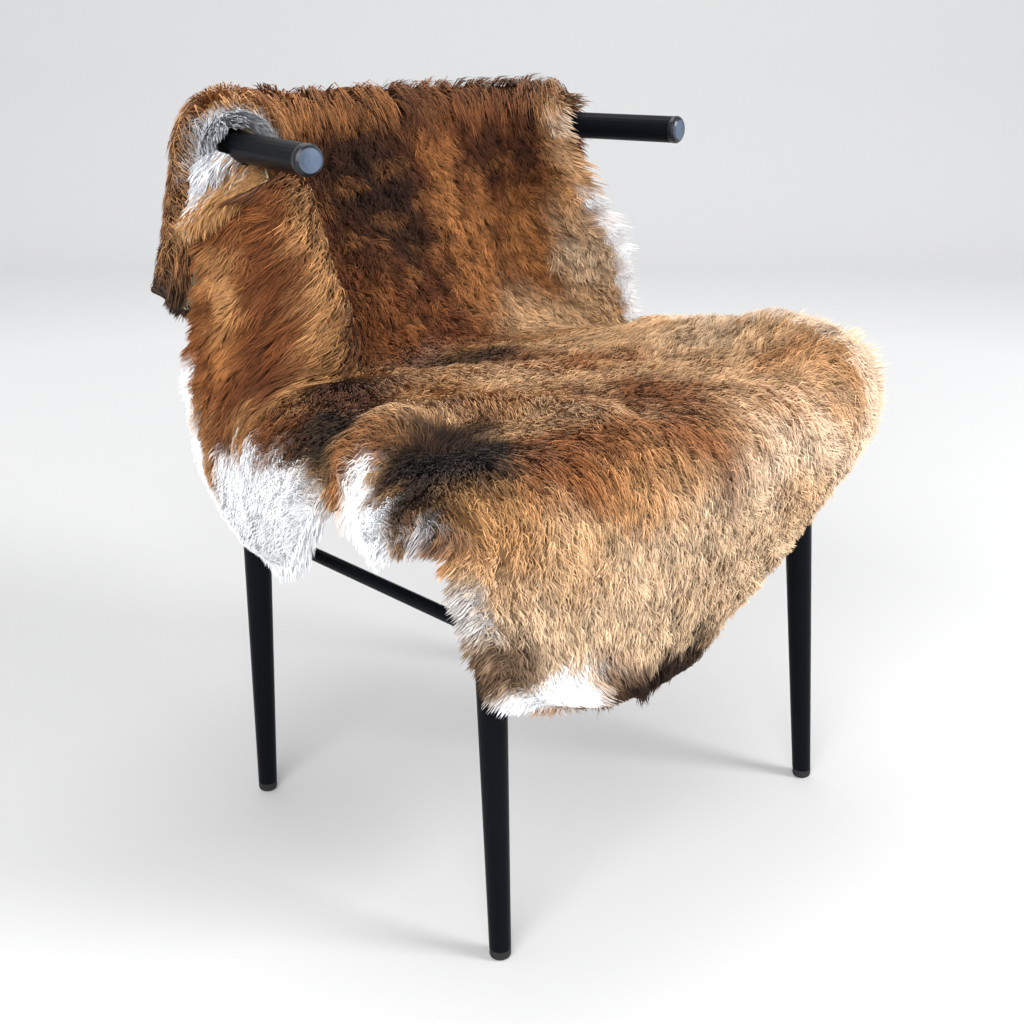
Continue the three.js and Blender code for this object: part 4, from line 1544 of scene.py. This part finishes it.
    def _rod_web(self) -> bpy.types.Object:
        """Grows the soft pale wool under the near rod, where the rear flap turns into the side panel.

        Returns:
            The locks' mesh object.
        """
        web, patch = self.web, self.web.locks
        rng = np.random.default_rng(patch.seed)
        a, b = rng.random(patch.count), rng.random(patch.count)
        rows = self.surface.rows
        margins = []
        for start, end in (web.flap_margin, web.panel_margin):
            row = np.interp(start + (end - start) * a, rows, np.arange(len(rows)))
            margins.append(self.reader.read(row, np.full(patch.count, web.column))["place"])
        outward = unit(np.array(web.facing))
        share = b[:, None]
        root = margins[0] * (1 - share) + margins[1] * share
        root += outward * (web.bulge * np.sin(math.pi * b))[:, None]
        fall = np.stack([start + more * b for start, more in web.fall], -1)
        fall = unit(fall + rng.normal(0, web.fall_spread, (patch.count, 3)))
        length = (patch.length * rng.uniform(*web.length, patch.count))[:, None]
        lift = rng.uniform(*web.lift, patch.count)[:, None]
        spines = [root + fall * length * t + outward * lift * math.sin(web.lift_turn * t)
                  for t in patch.levels]
        normals = [np.tile(outward, (patch.count, 1))] * len(spines)
        brown = smooth_step((b + 0.6 * a + 0.14 * rng.normal(0, 1, patch.count) - 0.6) / 0.3)[:, None]
        white = (rng.random(patch.count) < web.white_share)[:, None]
        pale = np.where(white, np.array(Tint.WHITE.value), np.array(Tint.GREY.value))
        tones = rng.uniform(*web.brown_tone, (patch.count, 1))
        tints = pale * (1 - brown) + np.array(Tint.HONEY.value) * brown * tones
        return self._strips(patch, spines, normals, tints, rng)

    def _outward(self, row: np.ndarray, column: np.ndarray) -> np.ndarray:
        """The way out to the nearest rim, as parts lengthwise and crosswise.

        Args:
            row: Places along, in rows.
            column: Places across, in columns.

        Returns:
            Two parts for each place.
        """
        rows, columns = self.surface.depth.shape
        long_step, wide_step = self.row_step, self.margin_step
        gaps = np.stack([row * long_step, (rows - 1 - row) * long_step,
                         column * wide_step, (columns - 1 - column) * wide_step], -1)
        weight = np.exp(-gaps / self.margin_ease)
        return unit(np.stack([weight[:, 1] - weight[:, 0], weight[:, 3] - weight[:, 2]], -1))

    def _strips(self, patch: LockPatch, spines: list[np.ndarray], normals: list[np.ndarray],
                tints: np.ndarray, rng: np.random.Generator) -> bpy.types.Object:
        """Turns lock spines into tapering strips.

        Args:
            patch: Which locks.
            spines: Places at each level.
            normals: The skin's normals at each level.
            tints: A colour for each lock.
            rng: Where the twist and width come from.

        Returns:
            The strips' mesh object.
        """
        habit, count, levels = self.habit, len(tints), len(spines)
        twist = np.radians(rng.uniform(-habit.twist, habit.twist, count))[:, None]
        width = patch.width * rng.uniform(*habit.width, count)[:, None] / 2
        plush = habit.plush + habit.pale_plush * paleness(tints)[:, None]
        points, facing, reach = [], [], []
        for k in range(levels - 1):
            taper = 1 - habit.taper * patch.levels[k] ** 2
            heading = unit(spines[k + 1] - spines[max(k - 1, 0)])
            side = unit(np.cross(heading, normals[k]))
            upward = np.cross(side, heading)
            flat = np.cos(twist) * side + np.sin(twist) * upward
            bright = unit(np.cross(flat, heading) + plush * normals[k])
            points += [spines[k] - flat * width * taper, spines[k] + flat * width * taper]
            facing += [bright, bright]
            reach += [patch.levels[k]] * 2
        points.append(spines[-1])
        facing.append(facing[-1])
        reach.append(1.0)
        size = len(points)
        vertices = np.stack(points, 1).reshape(-1, 3)
        first = size * np.arange(count)[:, None]
        quads = np.concatenate([first + 2 * k + np.array([0, 1, 3, 2]) for k in range(levels - 2)])
        last = 2 * (levels - 2)
        piece = make_mesh(patch.name, self._metres(vertices), quads, first + [last, last + 1, last + 2])
        piece.data.normals_split_custom_set_from_vertices(np.stack(facing, 1).reshape(-1, 3))
        set_tint(piece, np.repeat(tints, size, 0), np.tile(reach, count))
        piece.data.materials.append(self.lock_material())
        return piece

    def lock_material(self) -> bpy.types.Material:
        """The one material that all locks share."""
        return bpy.data.materials.get(WoolFinish.name) or WoolFinish().make()


# The chair


@dataclass
class Armchair:
    """The plain armchair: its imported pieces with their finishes."""

    steel: CoatFinish = CoatFinish("satin_black_steel", paint("07080b"), paint("0c1016"), 0.34, 1600.0,
                                   # The cap's lighter blue-grey front is a painted highlight on its end
                                   # faces.
                                   specular=0.05)
    cap: CoatFinish = CoatFinish("arm_cap_plastic", paint("0d1117"), paint("12171f"), 0.32, 2400.0,
                                 coat=0.15, specular=0.3, front=paint("4d5b6e"))
    board: CoatFinish = CoatFinish("seat_board", paint("19191b"), paint("222225"), 0.6, 900.0)
    glide: CoatFinish = CoatFinish("glide_rubber", paint("101011"), paint("18181a"), 0.75, 2000.0)

    def dress(self, nodes: dict[str, bpy.types.Object]) -> None:
        """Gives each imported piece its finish.

        Args:
            nodes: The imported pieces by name.
        """
        made = {key: finish.make() for key, finish in vars(self).items()}
        for name, piece in nodes.items():
            if name == "sheepskin":
                continue
            key = {"arm": "cap", "seat": "board", "glide": "glide"}.get(name.split("_")[0], "steel")
            key = "steel" if name.startswith("seat_rail") else key
            for slot in piece.material_slots:
                slot.link = "OBJECT"
                slot.material = made[key]
            LOG.info("%s wears %s", name, made[key].name)


# The studio and the main function

# Soft lights: name, place in metres from the chair's middle, width in metres, power in watts.
LIGHTS = (
    ("soft_right", (1.3, -2.7, 2.3), 1.3, 100.0),
    ("soft_left", (-2.3, -1.5, 1.9), 2.4, 100.0),
    ("soft_top", (0.3, 0.8, 2.9), 2.0, 30.0),
)


@dataclass
class Studio:
    """Floor, light and camera, in metres, degrees and, for the lens, millimetres."""

    centre: np.ndarray
    eye: tuple[float, float, float] = (-1.0496, -1.0543, 0.8646)
    yaw: float = 44.0622
    pitch: float = -19.3224
    lens: float = 49.91
    sensor: float = 36.0
    view_end: float = 50.0
    sweep_radius: float = 1.6
    sweep_steps: int = 16
    sweep_back: float = 3.6
    sweep_front: float = -20.0
    sweep_half: float = 30.0
    wall_top: float = 7.0
    surround: Colour = paint("f2f3f5")
    surround_strength: float = 0.78
    light_target: float = 0.5

    def build(self) -> None:
        """Builds the floor, the lights and the camera."""
        self._floor()
        self._lights()
        self._camera()

    def _floor(self) -> None:
        """A floor that sweeps up into a wall behind the chair, as seen by the camera."""
        line = [(self.sweep_front, 0.0), (self.sweep_back, 0.0)]
        for k in range(1, self.sweep_steps + 1):
            angle = math.radians(90 * k / self.sweep_steps)
            rise = self.sweep_radius * (1 - math.cos(angle))
            line.append((self.sweep_back + self.sweep_radius * math.sin(angle), rise))
        line.append((self.sweep_back + self.sweep_radius, self.wall_top))
        turn = math.radians(-self.yaw)
        ahead = np.array([-math.sin(turn), math.cos(turn)])
        sideways = np.array([math.cos(turn), math.sin(turn)])
        places = []
        for depth, height in line:
            for side in (-self.sweep_half, self.sweep_half):
                places.append([*(ahead * depth + sideways * side + self.centre[:2]), height])
        quads = np.array([[2 * k, 2 * k + 1, 2 * k + 3, 2 * k + 2] for k in range(len(line) - 1)])
        floor = make_mesh("studio_floor", np.array(places), quads)
        floor.data.materials.append(FloorFinish().make())

    def _lights(self) -> None:
        """Soft lights from the right, above and the left, and a pale surround."""
        world = bpy.data.worlds.new("studio_surround")
        bpy.context.scene.world = world
        world.use_nodes = True
        background = world.node_tree.nodes["Background"]
        background.inputs["Color"].default_value = (*self.surround, 1.0)
        background.inputs["Strength"].default_value = self.surround_strength
        target = Vector((*self.centre[:2], self.light_target))
        for name, place, size, power in LIGHTS:
            lamp = bpy.data.lights.new(name, "AREA")
            lamp.shape = "DISK"
            lamp.size = size
            lamp.energy = power
            light = bpy.data.objects.new(name, lamp)
            light.location = Vector(place) + Vector((*self.centre[:2], 0))
            light.rotation_euler = (target - light.location).to_track_quat("-Z", "Y").to_euler()
            bpy.context.scene.collection.objects.link(light)

    def _camera(self) -> None:
        """The camera at the photograph's place."""
        data = bpy.data.cameras.new("photo_view")
        data.sensor_fit = "HORIZONTAL"
        data.sensor_width = self.sensor
        data.lens = self.lens
        data.clip_end = self.view_end
        camera = bpy.data.objects.new("photo_view", data)
        camera.location = Vector(self.eye) + Vector(self.centre)
        yaw, pitch = math.radians(self.yaw), math.radians(self.pitch)
        ahead = Vector((math.sin(yaw) * math.cos(pitch), math.cos(yaw) * math.cos(pitch), math.sin(pitch)))
        camera.rotation_euler = ahead.to_track_quat("-Z", "Y").to_euler()
        bpy.context.scene.collection.objects.link(camera)
        bpy.context.scene.camera = camera


# Where the front left glide stands, in metres from the chair's own middle.
FRONT_LEFT_FOOT = (-0.25004, -0.21174)


def chair_centre() -> np.ndarray:
    """Finds the chair's own middle on the floor from where its front left glide stands.

    Returns:
        The middle, in metres of the row frame.
    """
    low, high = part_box("glide_front_left")
    middle = (low + high) / 2
    return np.array([middle.x - FRONT_LEFT_FOOT[0], middle.y - FRONT_LEFT_FOOT[1], 0.0])


def main() -> None:
    """Builds the looks in order and reports each piece."""
    logging.basicConfig(level=logging.INFO, format="%(message)s")
    centre = chair_centre()
    Armchair().dress(frame["nodes"])
    for piece in Sheepskin(centre).build():
        LOG.info("%s: %d faces", piece.name, len(piece.data.polygons))
    Studio(centre).build()
    scene = bpy.context.scene
    scene.view_settings.view_transform = "Standard"


if __name__ == "__main__":
    main()
